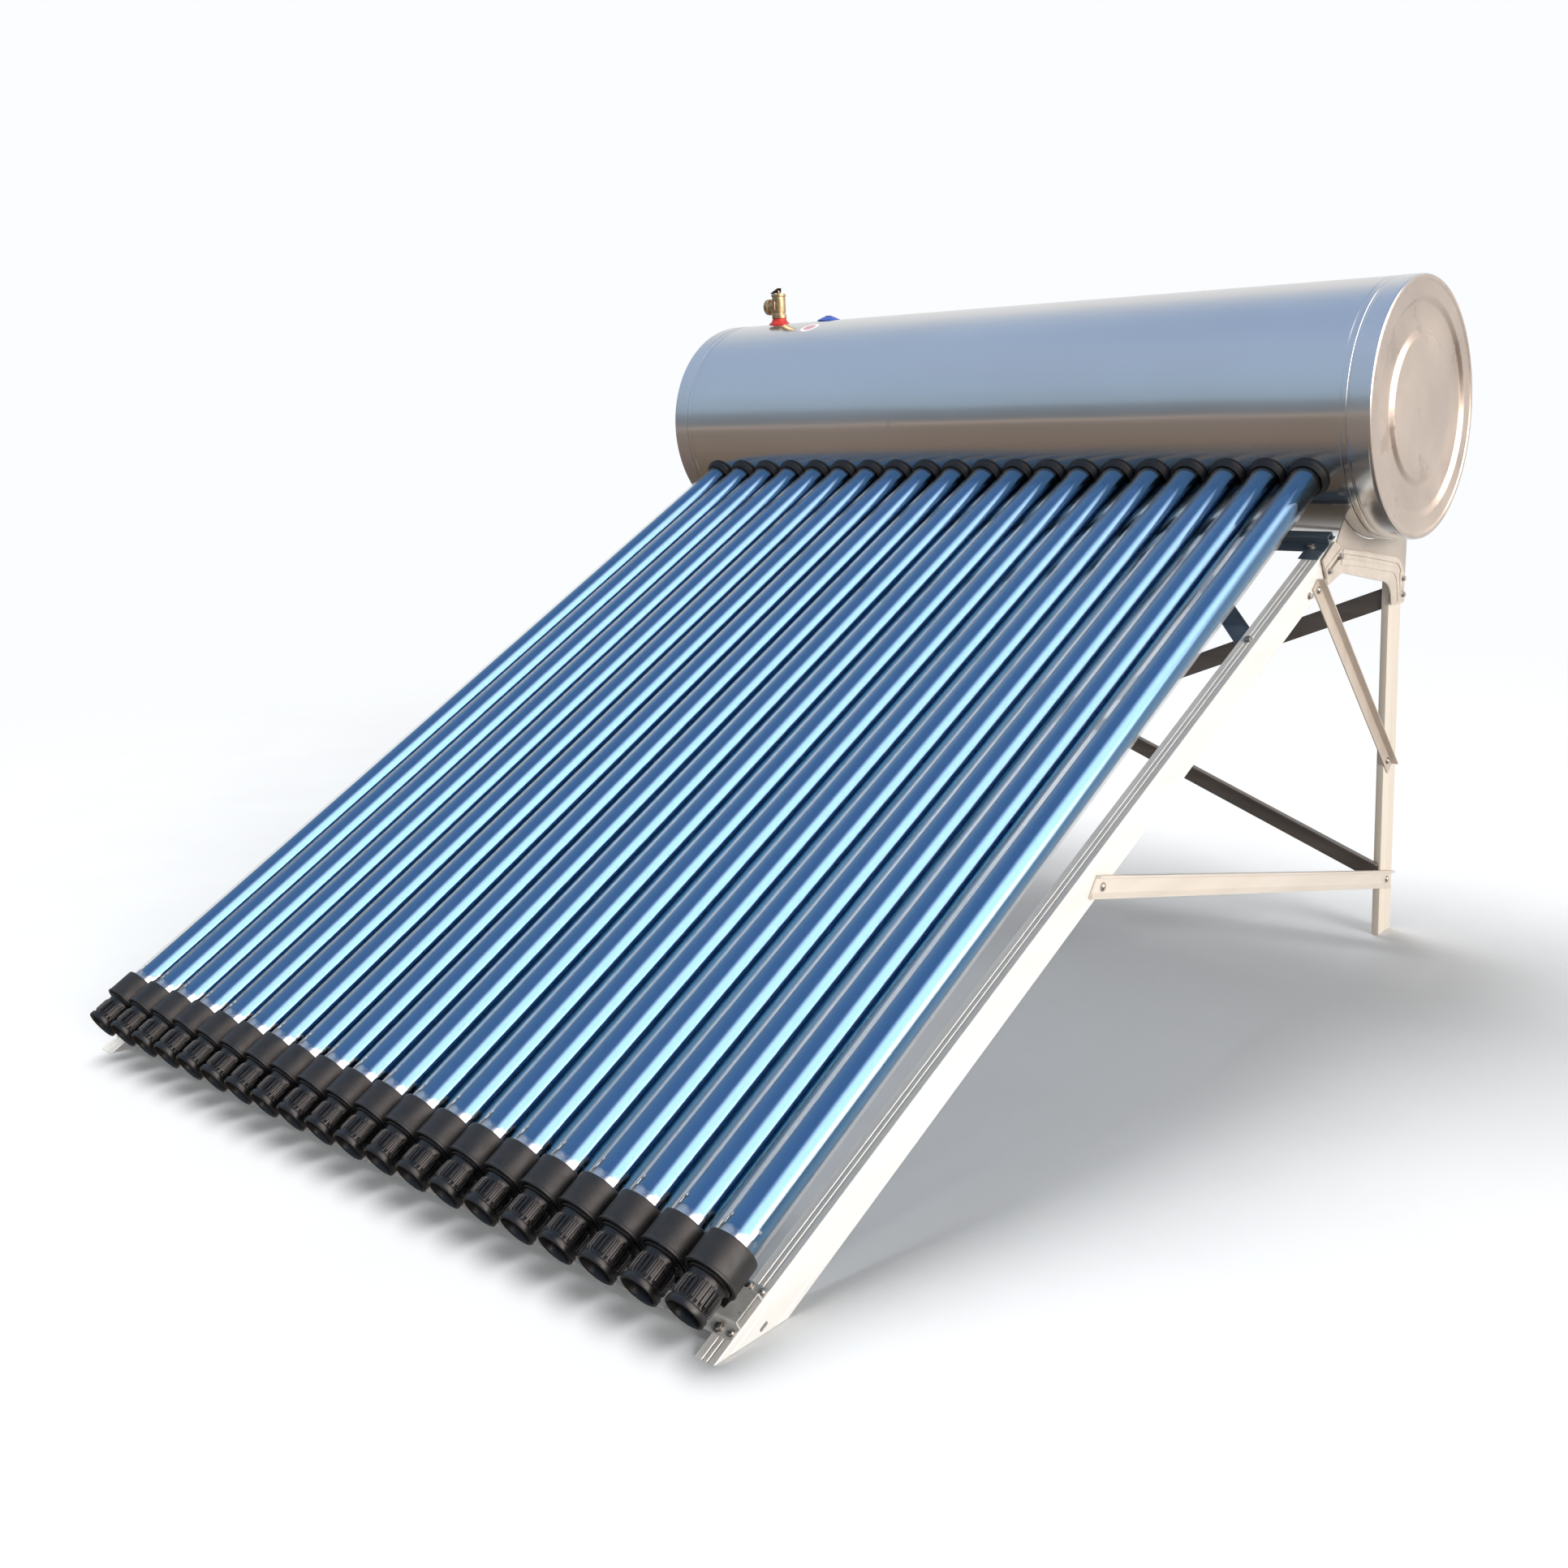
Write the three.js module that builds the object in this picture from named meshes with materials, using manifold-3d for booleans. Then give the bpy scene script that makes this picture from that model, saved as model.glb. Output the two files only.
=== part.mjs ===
// Solar water heater with evacuated glass tubes, an insulated tank and an aluminium stand.
// Millimetres, +Z up, X along the tank, +Y towards the tank side, ground at z = 0.
import * as THREE from 'three';
import { mergeVertices } from 'three/addons/utils/BufferGeometryUtils.js';
import Module from 'manifold-3d';

const wasm = await Module();
wasm.setup();

const RAD = Math.PI / 180;

// Tubes
const TUBE_COUNT = 20;
const TUBE_PITCH = 75;
const TUBE_R = 29;
const TUBE_BORE_R = 23.5;
const TUBE_SLOPE = 28.7 * RAD;
const TUBE_MOUTH = 145;
const TUBE_TIP = 1915;

// Tank: distances from its axis or from its middle
const TANK_R = 227.5;
const TANK_LENGTH = 1663;
const TANK_Z = 998;
const SHELL_WALL = 1.2;
const CAP_R = 228;
const CAP_SKIRT = 42;
const CAP_WALL = 1.4;
const INNER_R = 175;
const INNER_WALL = 1.5;
const INNER_HALF = 770;

// Tube holders and screw cups: distances along the tube axis from the tank axis
const RING_R = 35.5;
const RING_BORE_R = 31.2;
const RING_TOP = 1872;
const RING_END = 1917;
const CUP_NECK_R = 29.6;
const CUP_NECK_TOP = 1900;
const CUP_NECK_END = 1919;
const CUP_R = 27;
const CUP_END = 1965;

// Stand
const RAIL_SLOPE = 26.86 * RAD;
const RAIL_OUTER = 748;
const RAIL_WIDTH = 32;
const RAIL_DEPTH = 55;
const RAIL_WALL = 3;
const RAIL_TOP_END = 1738;
const TIP_SETBACK = 1714;
const LEG_FRONT = 73;
const LEG_REAR = 128;
const LEG_FLANGE = 14;
const LEG_TOP = 719;
const GAP = 0.4;
const SADDLE_WALL = 2.6;
const BRACKET_WALL = 6;
const HAT_WALL = 2;
const ANGLE_WALL = 3;

// Relief valve
const VALVE_X = -700;
const VALVE_NECK_R = 12;
const OUTLET_Z = 1266;
const OUTLET_NUT_R = 18;
const OUTLET_END = -734;
const LEVER_Z = 1299;
const LEVER_TILT = 24 * RAD;

// The tank axis is placed so that the whole heater is centred on y = 0.
const FRONT_REACH = CUP_END * Math.cos(TUBE_SLOPE) + CUP_R * Math.sin(TUBE_SLOPE);
const TANK_Y = (FRONT_REACH - CAP_R) / 2;
const RAIL_TIP_Y = TANK_Y - TIP_SETBACK;

const group = new THREE.Group();
group.name = 'solar_water_heater';

const FINISH = {
  shell: { color: 0xb9bcc2, roughness: 0.2, metalness: 1.0 },
  cap: { color: 0xbdb3aa, roughness: 0.38, metalness: 1.0 },
  inner: { color: 0xa9acb0, roughness: 0.35, metalness: 1.0 },
  tube: { color: 0x12284f, roughness: 0.06, metalness: 0.35 },
  plastic: { color: 0x17181a, roughness: 0.55, metalness: 0.0 },
  frame: { color: 0xe6dccb, roughness: 0.4, metalness: 0.35 },
  bracket: { color: 0xc9bdb0, roughness: 0.5, metalness: 0.4 },
  rack: { color: 0x9c9d9f, roughness: 0.38, metalness: 0.9 },
  dark: { color: 0x4c4845, roughness: 0.5, metalness: 0.7 },
  brass: { color: 0xb08a4a, roughness: 0.3, metalness: 1.0 },
  lever: { color: 0x3a2f28, roughness: 0.5, metalness: 0.3 },
};

// One closed, outward-facing indexed geometry with no repeated vertices.
function weld(source) {
  source.deleteAttribute('normal');
  source.deleteAttribute('uv');
  const merged = mergeVertices(source, 1e-3);
  const index = merged.getIndex().array;
  const p = merged.getAttribute('position').array;
  const kept = [];
  let volume = 0;
  for (let i = 0; i < index.length; i += 3) {
    const [a, b, c] = [index[i], index[i + 1], index[i + 2]];
    if (a === b || b === c || c === a) {
      continue;
    }
    kept.push(a, b, c);
    const [va, vb, vc] = [a, b, c].map((k) => new THREE.Vector3(p[3 * k], p[3 * k + 1], p[3 * k + 2]));
    volume += va.dot(vb.cross(vc));
  }
  if (volume < 0) {
    kept.reverse();
  }
  merged.setIndex(kept);
  return merged;
}

function toSolid(geometry) {
  return new wasm.Manifold(new wasm.Mesh({
    numProp: 3,
    vertProperties: new Float32Array(geometry.getAttribute('position').array),
    triVerts: new Uint32Array(geometry.getIndex().array),
  }));
}

function toGeometry(solid) {
  const data = solid.getMesh();
  const geometry = new THREE.BufferGeometry();
  geometry.setAttribute('position', new THREE.BufferAttribute(new Float32Array(data.vertProperties), 3));
  geometry.setIndex(new THREE.BufferAttribute(new Uint32Array(data.triVerts), 1));
  return geometry;
}

function addNode(name, geometry, finish) {
  geometry.computeVertexNormals();
  const mesh = new THREE.Mesh(geometry, new THREE.MeshStandardMaterial(FINISH[finish]));
  mesh.name = name;
  group.add(mesh);
  return mesh;
}

// A profile of [radius, distance] pairs turned about the local Y axis.
function turned(profile, segments) {
  const points = profile.map(([r, y]) => new THREE.Vector2(r, y));
  return weld(new THREE.LatheGeometry(points, segments));
}

function closed(profile) {
  return [...profile, profile[0]];
}

function box(sx, sy, sz, x, y, z) {
  return weld(new THREE.BoxGeometry(sx, sy, sz)).translate(x, y, z);
}

function cylinder(radius, length, segments) {
  return weld(new THREE.CylinderGeometry(radius, radius, length, segments));
}

function extruded(outline, depth) {
  const shape = new THREE.Shape(outline.map(([u, v]) => new THREE.Vector2(u, v)));
  return weld(new THREE.ExtrudeGeometry(shape, { depth, bevelEnabled: false, curveSegments: 1 }));
}

// An outline of [y, z] pairs given thickness between two x positions.
function plate(outline, x0, x1) {
  const geometry = extruded(outline, Math.abs(x1 - x0));
  const basis = new THREE.Matrix4().makeBasis(
    new THREE.Vector3(0, 1, 0),
    new THREE.Vector3(0, 0, 1),
    new THREE.Vector3(1, 0, 0),
  );
  return geometry.applyMatrix4(basis).translate(Math.min(x0, x1), 0, 0);
}

// A profile of [x, v] pairs swept in the y-z plane from start, at the given slope.
// v is measured square to the sweep, upwards.
function sweptInSide(profile, startY, startZ, slope, length) {
  const geometry = extruded(profile, length);
  const basis = new THREE.Matrix4().makeBasis(
    new THREE.Vector3(1, 0, 0),
    new THREE.Vector3(0, -Math.sin(slope), Math.cos(slope)),
    new THREE.Vector3(0, Math.cos(slope), Math.sin(slope)),
  );
  geometry.applyMatrix4(basis);
  return weld(geometry).translate(0, startY, startZ);
}

// A tube's own Y axis is turned about X to run from the tank down to its screw cup.
const TUBE_AXIS_TURN = Math.PI + TUBE_SLOPE;

function onTubeAxis(geometry, x) {
  return geometry.clone().rotateX(TUBE_AXIS_TURN).translate(x, TANK_Y, TANK_Z);
}

function tubeX(i) {
  return (i - (TUBE_COUNT + 1) / 2) * TUBE_PITCH;
}

function railPoint(along, height) {
  const y = RAIL_TIP_Y + along * Math.cos(RAIL_SLOPE) - height * Math.sin(RAIL_SLOPE);
  const z = along * Math.sin(RAIL_SLOPE) + height * Math.cos(RAIL_SLOPE);
  return [y, z];
}

// Evacuated tubes: open mouth in the tank, domed lower end.
const tubeProfile = [
  [0, TUBE_TIP],
  [20.5, TUBE_TIP - 8.5],
  [TUBE_R, TUBE_TIP - TUBE_R],
  [TUBE_R, TUBE_MOUTH],
  [TUBE_BORE_R, TUBE_MOUTH],
  [TUBE_BORE_R, TUBE_TIP - TUBE_R],
  [0, TUBE_TIP - 9],
];
const tube = turned(tubeProfile, 12);

// Screw cups: neck turns in the holder ring, dish under the tube's dome, recess in the far end.
const cupProfile = [
  [0, CUP_END - 9],
  [16, CUP_END - 9],
  [17, CUP_END],
  [CUP_R, CUP_END],
  [CUP_R, CUP_NECK_END],
  [CUP_NECK_R, CUP_NECK_END],
  [CUP_NECK_R, CUP_NECK_TOP],
  [26.4, CUP_NECK_TOP],
  [18, 1911.5],
  [0, 1917.5],
];
const cup = turned(cupProfile, 12);

for (let i = 1; i <= TUBE_COUNT; i += 1) {
  const tag = String(i).padStart(2, '0');
  for (const mesh of [addNode(`vacuum_tube_${tag}`, tube, 'tube'), addNode(`screw_cup_${tag}`, cup, 'plastic')]) {
    mesh.rotation.x = TUBE_AXIS_TURN;
    mesh.position.set(tubeX(i), TANK_Y, TANK_Z);
  }
}

// Outer shell and inner tank, both with a row of tube holes and a valve port.
function alongTank(geometry) {
  return geometry.rotateZ(-Math.PI / 2).translate(0, TANK_Y, TANK_Z);
}

function hollow(outerProfile, innerProfile, segments) {
  const outer = toSolid(alongTank(turned(outerProfile, segments)));
  const inner = toSolid(alongTank(turned(innerProfile, segments)));
  return outer.subtract(inner);
}

function pierced(solid, portR) {
  let result = solid;
  const cutter = turned([[0, 100], [31, 100], [31, 280], [0, 280]], 12);
  for (let i = 1; i <= TUBE_COUNT; i += 1) {
    result = result.subtract(toSolid(onTubeAxis(cutter, tubeX(i))));
  }
  const port = cylinder(portR, 120, 16).rotateX(Math.PI / 2).translate(VALVE_X, TANK_Y, TANK_Z + 200);
  return result.subtract(toSolid(port));
}

const shellHalf = TANK_LENGTH / 2 - CAP_SKIRT - GAP;
const shellBoreR = TANK_R - SHELL_WALL;
const shell = hollow(
  [[0, -shellHalf], [TANK_R, -shellHalf], [TANK_R, shellHalf], [0, shellHalf]],
  [[0, -shellHalf - 5], [shellBoreR, -shellHalf - 5], [shellBoreR, shellHalf + 5], [0, shellHalf + 5]],
  48,
);
addNode('outer_shell', toGeometry(pierced(shell, 15)), 'shell');

function drumProfile(radius, half) {
  return [
    [0, -half],
    [radius - 45, -half],
    [radius, -half + 30],
    [radius, half - 30],
    [radius - 45, half],
    [0, half],
  ];
}

const innerTank = hollow(
  drumProfile(INNER_R, INNER_HALF),
  drumProfile(INNER_R - INNER_WALL, INNER_HALF - INNER_WALL),
  24,
);
addNode('inner_tank', toGeometry(pierced(innerTank, 14.5)), 'inner');

// End caps: skirt, rolled rim, and a face stepping in, out and to a centre disc.
const capEnd = TANK_LENGTH / 2;
const capStart = capEnd - CAP_SKIRT;
const capProfile = closed([
  [CAP_R, capStart],
  [CAP_R, capEnd - 5],
  [CAP_R - 4, capEnd],
  [190, capEnd - 2],
  [176, capEnd - 9],
  [134, capEnd - 9],
  [120, capEnd - 2],
  [0.6, capEnd - 2],
  [0.6, capEnd - 2 - CAP_WALL],
  [120, capEnd - 2 - CAP_WALL],
  [134, capEnd - 9 - CAP_WALL],
  [176, capEnd - 9 - CAP_WALL],
  [190, capEnd - 2 - CAP_WALL],
  [CAP_R - 6, capEnd - 2 - CAP_WALL],
  [CAP_R - CAP_WALL, capEnd - 7],
  [CAP_R - CAP_WALL, capStart],
]);
const solidCapProfile = capProfile.slice(0, -1).map(([r, x]) => [r < 1 ? 0 : r, x]);
const cap = turned(solidCapProfile.slice(8).concat(solidCapProfile.slice(0, 8)), 32);
addNode('end_cap_right', alongTank(cap.clone()), 'cap');
addNode('end_cap_left', weld(alongTank(cap.clone().rotateZ(Math.PI))), 'cap');

// Rails, rear legs, corner brackets, side braces and side diagonals, mirrored left and right.
function mirrored(outline, side) {
  return outline.map(([x, v]) => [side * x, v]);
}

const railProfile = [
  [RAIL_OUTER, 0],
  [RAIL_OUTER - RAIL_WIDTH, 0],
  [RAIL_OUTER - RAIL_WIDTH, -RAIL_WALL],
  [RAIL_OUTER - RAIL_WALL, -RAIL_WALL],
  [RAIL_OUTER - RAIL_WALL, RAIL_WALL - RAIL_DEPTH],
  [RAIL_OUTER - RAIL_WIDTH + 6, RAIL_WALL - RAIL_DEPTH],
  [RAIL_OUTER - RAIL_WIDTH + 6, -RAIL_DEPTH],
  [RAIL_OUTER, -RAIL_DEPTH],
];
const ground = toSolid(box(2000, 2400, 200, 0, 0, -100));

function rail(side) {
  const [y, z] = railPoint(-40, 0);
  const bar = sweptInSide(mirrored(railProfile, side), y, z, RAIL_SLOPE, RAIL_TOP_END + 40);
  return toGeometry(toSolid(bar).subtract(ground));
}

function rearLeg(side) {
  const front = TANK_Y + LEG_FRONT;
  const rear = TANK_Y + LEG_REAR;
  const outline = [
    [RAIL_OUTER, front],
    [RAIL_OUTER, rear],
    [RAIL_OUTER - LEG_FLANGE, rear],
    [RAIL_OUTER - LEG_FLANGE, rear - RAIL_WALL],
    [RAIL_OUTER - RAIL_WALL, rear - RAIL_WALL],
    [RAIL_OUTER - RAIL_WALL, front + RAIL_WALL],
    [RAIL_OUTER - LEG_FLANGE, front + RAIL_WALL],
    [RAIL_OUTER - LEG_FLANGE, front],
  ];
  return extruded(mirrored(outline, side), LEG_TOP);
}

// The saddle plate's top edge follows the tank from its front to its lowest point.
function saddleOutline() {
  const arc = [];
  const radius = CAP_R + 0.6;
  for (let k = 0; k <= 6; k += 1) {
    const angle = (36.5 - k * 6.1) * RAD;
    arc.push([-radius * Math.sin(angle), TANK_Z - radius * Math.cos(angle)]);
  }
  const rest = [[25, 767], [140, 755], [136, 640], [85, 640], [85, 705], [-120, 735], [-164, 778]];
  return [...arc, ...rest];
}

const bracketOutline = [
  [-225, 752],
  [-178, 780],
  [-147, 764],
  [-69, 754],
  [97, 726],
  [117, 706],
  [127, 639],
  [70, 641],
  [61, 666],
  [45, 681],
  [30, 688],
  [-10, 696],
  [-144, 722],
  [-167, 718],
  [-202, 706],
];

function fromTankAxis(outline) {
  return outline.map(([dy, z]) => [TANK_Y + dy, z]);
}

function cornerBracket(side) {
  const x0 = RAIL_OUTER + GAP;
  const x1 = x0 + SADDLE_WALL;
  const saddle = toSolid(plate(fromTankAxis(saddleOutline()), side * x0, side * x1));
  const casting = toSolid(plate(fromTankAxis(bracketOutline), side * (x1 - 0.1), side * (x1 + BRACKET_WALL)));
  return toGeometry(saddle.add(casting));
}

// A bar on the outside of the stand between two bolt positions, given from the tank axis.
function sideBar(side, profile, from, to, before, after) {
  const slope = Math.atan2(to[1] - from[1], to[0] - from[0]);
  const length = Math.hypot(to[0] - from[0], to[1] - from[1]) + before + after;
  const startY = TANK_Y + from[0] - before * Math.cos(slope);
  const startZ = from[1] - before * Math.sin(slope);
  const placed = profile.map(([x, v]) => [side * (RAIL_OUTER + GAP + x), v]);
  return sweptInSide(placed, startY, startZ, slope, length);
}

const braceProfile = [[0, -17], [8, -17], [2.5, -8], [2.5, 13], [9, 13], [9, 17], [0, 17]];
const diagonalProfile = [[0, -13], [2.5, -13], [2.5, 10.5], [15, 10.5], [15, 13], [0, 13]];

for (const [suffix, side] of [['left', -1], ['right', 1]]) {
  addNode(`front_rail_${suffix}`, rail(side), 'frame');
  addNode(`rear_leg_${suffix}`, rearLeg(side), 'frame');
  addNode(`corner_bracket_${suffix}`, cornerBracket(side), 'bracket');
  addNode(`side_brace_${suffix}`, sideBar(side, braceProfile, [-918, 350], [96, 107], 22, 20), 'frame');
  addNode(`side_diagonal_${suffix}`, sideBar(side, diagonalProfile, [-233, 701], [82, 343], 15, 22), 'frame');
}

// Rear cross bars: angles bolted to the front and the back of the legs' front flanges, cut square to X.
function crossBar(side, highZ, lowZ, y, lip) {
  const reach = RAIL_OUTER - RAIL_WALL - 0.6;
  const slope = Math.atan2(highZ - lowZ, 2 * reach);
  const length = Math.hypot(highZ - lowZ, 2 * reach) + 40;
  const outline = [
    [-18, 0],
    [18, 0],
    [18, lip],
    [15, lip],
    [15, Math.sign(lip) * ANGLE_WALL],
    [-18, Math.sign(lip) * ANGLE_WALL],
  ];
  const basis = new THREE.Matrix4().makeBasis(
    new THREE.Vector3(-side * Math.sin(slope), 0, Math.cos(slope)),
    new THREE.Vector3(0, 1, 0),
    new THREE.Vector3(side * Math.cos(slope), 0, Math.sin(slope)),
  );
  const bar = extruded(outline, length).translate(0, 0, -length / 2);
  const placed = weld(bar.applyMatrix4(basis)).translate(0, y, (highZ + lowZ) / 2);
  return toGeometry(toSolid(placed).intersect(toSolid(box(2 * reach, 200, 1200, 0, y, 500))));
}

const legFront = TANK_Y + LEG_FRONT;
addNode('rear_cross_bar_a', crossBar(1, 655, 62, legFront + RAIL_WALL + GAP, 14), 'dark');
addNode('rear_cross_bar_b', crossBar(-1, 668, 124, legFront - GAP, -14), 'dark');

// Hat channels across the rails: a raised web between two bolted flanges.
function hatChannel(a0, a1, a2, a3, height) {
  const outline = [
    [a0, 0],
    [a0, HAT_WALL],
    [a1, HAT_WALL],
    [a1, height],
    [a2, height],
    [a2, HAT_WALL],
    [a3, HAT_WALL],
    [a3, 0],
    [a2 - HAT_WALL, 0],
    [a2 - HAT_WALL, height - HAT_WALL],
    [a1 + HAT_WALL, height - HAT_WALL],
    [a1 + HAT_WALL, 0],
  ];
  return plate(outline.map(([a, h]) => railPoint(a, h + GAP)), -RAIL_OUTER, RAIL_OUTER);
}

addNode('upper_crossbar', hatChannel(1688, 1711, 1731, RAIL_TOP_END, 16), 'dark');

// Tail rack: the lower hat channel with one holder ring and foot for each tube.
const ringProfile = closed([
  [RING_R, RING_TOP],
  [RING_R, RING_END],
  [RING_BORE_R, RING_END],
  [RING_BORE_R, RING_TOP],
]);
const ring = turned(ringProfile, 12);
const foot = box(22, 20, 10, 0, RING_END - 12, RING_R + 3);
let rack = toSolid(hatChannel(32, 48, 91, 105, 14));
for (let i = 1; i <= TUBE_COUNT; i += 1) {
  rack = rack.add(toSolid(onTubeAxis(foot, tubeX(i))));
  rack = rack.add(toSolid(onTubeAxis(ring, tubeX(i))));
}
addNode('tail_rack', toGeometry(rack), 'rack');

// Relief valve: neck into the inner tank, collar, barrel, cap, side outlet with its nut, and lever post.
const valveProfile = [
  [0, 1165],
  [VALVE_NECK_R, 1165],
  [VALVE_NECK_R, 1236],
  [17, 1238],
  [17, 1248],
  [15.5, 1250],
  [15.5, 1286],
  [17, 1288],
  [17, 1294],
  [0, 1294],
];

function aboveTank(geometry) {
  return geometry.rotateX(Math.PI / 2).translate(VALVE_X, TANK_Y, 0);
}

const outletLength = VALVE_X - OUTLET_END;
const outletMid = (VALVE_X + OUTLET_END) / 2;
const outlet = cylinder(13, outletLength, 16).rotateZ(Math.PI / 2).translate(outletMid, TANK_Y, OUTLET_Z);
const outletNut = cylinder(OUTLET_NUT_R, 11, 16).rotateZ(Math.PI / 2).translate(OUTLET_END + 5.5, TANK_Y, OUTLET_Z);
const outletBore = cylinder(9.5, outletLength, 16).rotateZ(Math.PI / 2).translate(outletMid - 1, TANK_Y, OUTLET_Z);
const inletBore = aboveTank(turned([[0, 1160], [7, 1160], [7, 1270], [0, 1270]], 12));
const post = box(5.6, 6, 10, VALVE_X, TANK_Y, LEVER_Z - 2);
const pinHole = cylinder(2, 20, 12).translate(VALVE_X, TANK_Y, LEVER_Z);
const valveBody = toSolid(aboveTank(turned(valveProfile, 16)))
  .add(toSolid(outlet))
  .add(toSolid(outletNut))
  .add(toSolid(post))
  .subtract(toSolid(outletBore))
  .subtract(toSolid(inletBore))
  .subtract(toSolid(pinHole));
addNode('relief_valve_body', toGeometry(valveBody), 'brass');

// Lever: tilted handle plate, two tapered cheeks beside the post, and a pin through it.
// Outlines are [distance along the handle, height above it] from the pin.
function onLever(outline, y0, y1) {
  const geometry = extruded(outline, y1 - y0).rotateZ(LEVER_TILT).rotateX(Math.PI / 2);
  return toSolid(geometry.translate(VALVE_X, TANK_Y + y1, LEVER_Z));
}

const handle = onLever([[-19, 4.4], [7, 4.4], [7, 6.6], [-19, 6.6]], -6, 6);
const cheekOutline = [[-2.2, -2.4], [2.2, -2.4], [6.5, 5], [-13, 5]];
const cheekA = onLever(cheekOutline, 3.8, 6);
const cheekB = onLever(cheekOutline, -6, -3.8);
const pin = cylinder(1.6, 10, 12).translate(VALVE_X, TANK_Y, LEVER_Z);
const lever = handle.add(cheekA).add(cheekB).add(toSolid(pin));
addNode('relief_valve_lever', toGeometry(lever), 'lever');

export default group;
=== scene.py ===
import math

import bmesh
import bpy
from mathutils import Matrix, Vector

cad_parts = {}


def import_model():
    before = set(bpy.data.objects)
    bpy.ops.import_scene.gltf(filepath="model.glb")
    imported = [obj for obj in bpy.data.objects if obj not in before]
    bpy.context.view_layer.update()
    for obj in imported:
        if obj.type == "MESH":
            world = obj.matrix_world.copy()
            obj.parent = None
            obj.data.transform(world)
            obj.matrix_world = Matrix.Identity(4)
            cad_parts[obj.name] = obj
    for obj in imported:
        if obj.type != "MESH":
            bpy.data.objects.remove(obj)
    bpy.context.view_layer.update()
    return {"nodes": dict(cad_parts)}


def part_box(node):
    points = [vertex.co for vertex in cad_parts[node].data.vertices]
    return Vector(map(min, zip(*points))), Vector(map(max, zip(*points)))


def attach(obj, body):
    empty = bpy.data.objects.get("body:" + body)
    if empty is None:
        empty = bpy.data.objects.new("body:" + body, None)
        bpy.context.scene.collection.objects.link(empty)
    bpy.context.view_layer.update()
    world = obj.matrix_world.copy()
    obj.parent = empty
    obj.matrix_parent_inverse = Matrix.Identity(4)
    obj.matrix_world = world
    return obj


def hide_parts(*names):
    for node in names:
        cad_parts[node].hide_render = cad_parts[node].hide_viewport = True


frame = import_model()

MM = 0.001

# Shapes are written in millimetres in the shared frame, and piece() scales them to metres.
shell_low, shell_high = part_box("outer_shell")
TANK_Y = (shell_low.y + shell_high.y) / 2 / MM
TANK_Z = (shell_low.z + shell_high.z) / 2 / MM
TANK_R = (shell_high.z - shell_low.z) / 2 / MM
SHELL_END = shell_high.x / MM
cap_low, cap_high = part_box("end_cap_right")
CAP_START = cap_low.x / MM
CAP_END = cap_high.x / MM
CAP_R = (cap_high.z - cap_low.z) / 2 / MM
TUBE_ANGLE = 118.7
TUBE_XS = [(i - 10.5) * 75 for i in range(1, 21)]
RAIL_SLOPE = math.radians(26.86)
RAIL_TIP_Y = TANK_Y - 1714
VALVE_X = -700
SIDES = (("right", 1), ("left", -1))


def rgb(code):
    """Linear colour of a six-digit hex code."""
    parts = [int(code[i : i + 2], 16) / 255 for i in (0, 2, 4)]
    return tuple(c / 12.92 if c <= 0.04045 else ((c + 0.055) / 1.055) ** 2.4 for c in parts)


# Node materials


def add(tree, kind, inputs=None, **props):
    node = tree.nodes.new("ShaderNode" + kind)
    for key, value in props.items():
        setattr(node, key, value)
    for key, value in (inputs or {}).items():
        if isinstance(value, bpy.types.NodeSocket):
            tree.links.new(value, node.inputs[key])
        else:
            node.inputs[key].default_value = value
    return node


def noise(tree, scale, stretch=(1, 1, 1), turn=(0, 0, 0), detail=4.0, rough=0.55):
    """Noise in the object's own coordinates, finer along an axis with a larger stretch."""
    where = add(tree, "TexCoord").outputs["Object"]
    turned = add(tree, "Mapping", {"Vector": where, "Rotation": turn, "Scale": stretch})
    found = {"Vector": turned.outputs[0], "Scale": scale, "Detail": detail, "Roughness": rough}
    return add(tree, "TexNoise", found).outputs["Fac"]


def ramp(tree, fac, stops):
    """Colour ramp from (position, linear colour) stops."""
    node = add(tree, "ValToRGB", {"Fac": fac})
    elements = node.color_ramp.elements
    while len(elements) < len(stops):
        elements.new(0.5)
    for element, (position, color) in zip(elements, stops):
        element.position = position
        element.color = (*color, 1)
    return node.outputs["Color"]


def level(tree, value, low, high, to_low, to_high, curve="SMOOTHSTEP"):
    """value mapped from low..high to to_low..to_high and clamped, smoothly unless curve is LINEAR."""
    found = {"Value": value, "From Min": low, "From Max": high, "To Min": to_low, "To Max": to_high}
    return add(tree, "MapRange", found, interpolation_type=curve).outputs["Result"]


def bump(tree, height, strength, distance, below=None):
    found = {"Height": height, "Strength": strength, "Distance": distance}
    if below is not None:
        found["Normal"] = below
    return add(tree, "Bump", found).outputs["Normal"]


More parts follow.
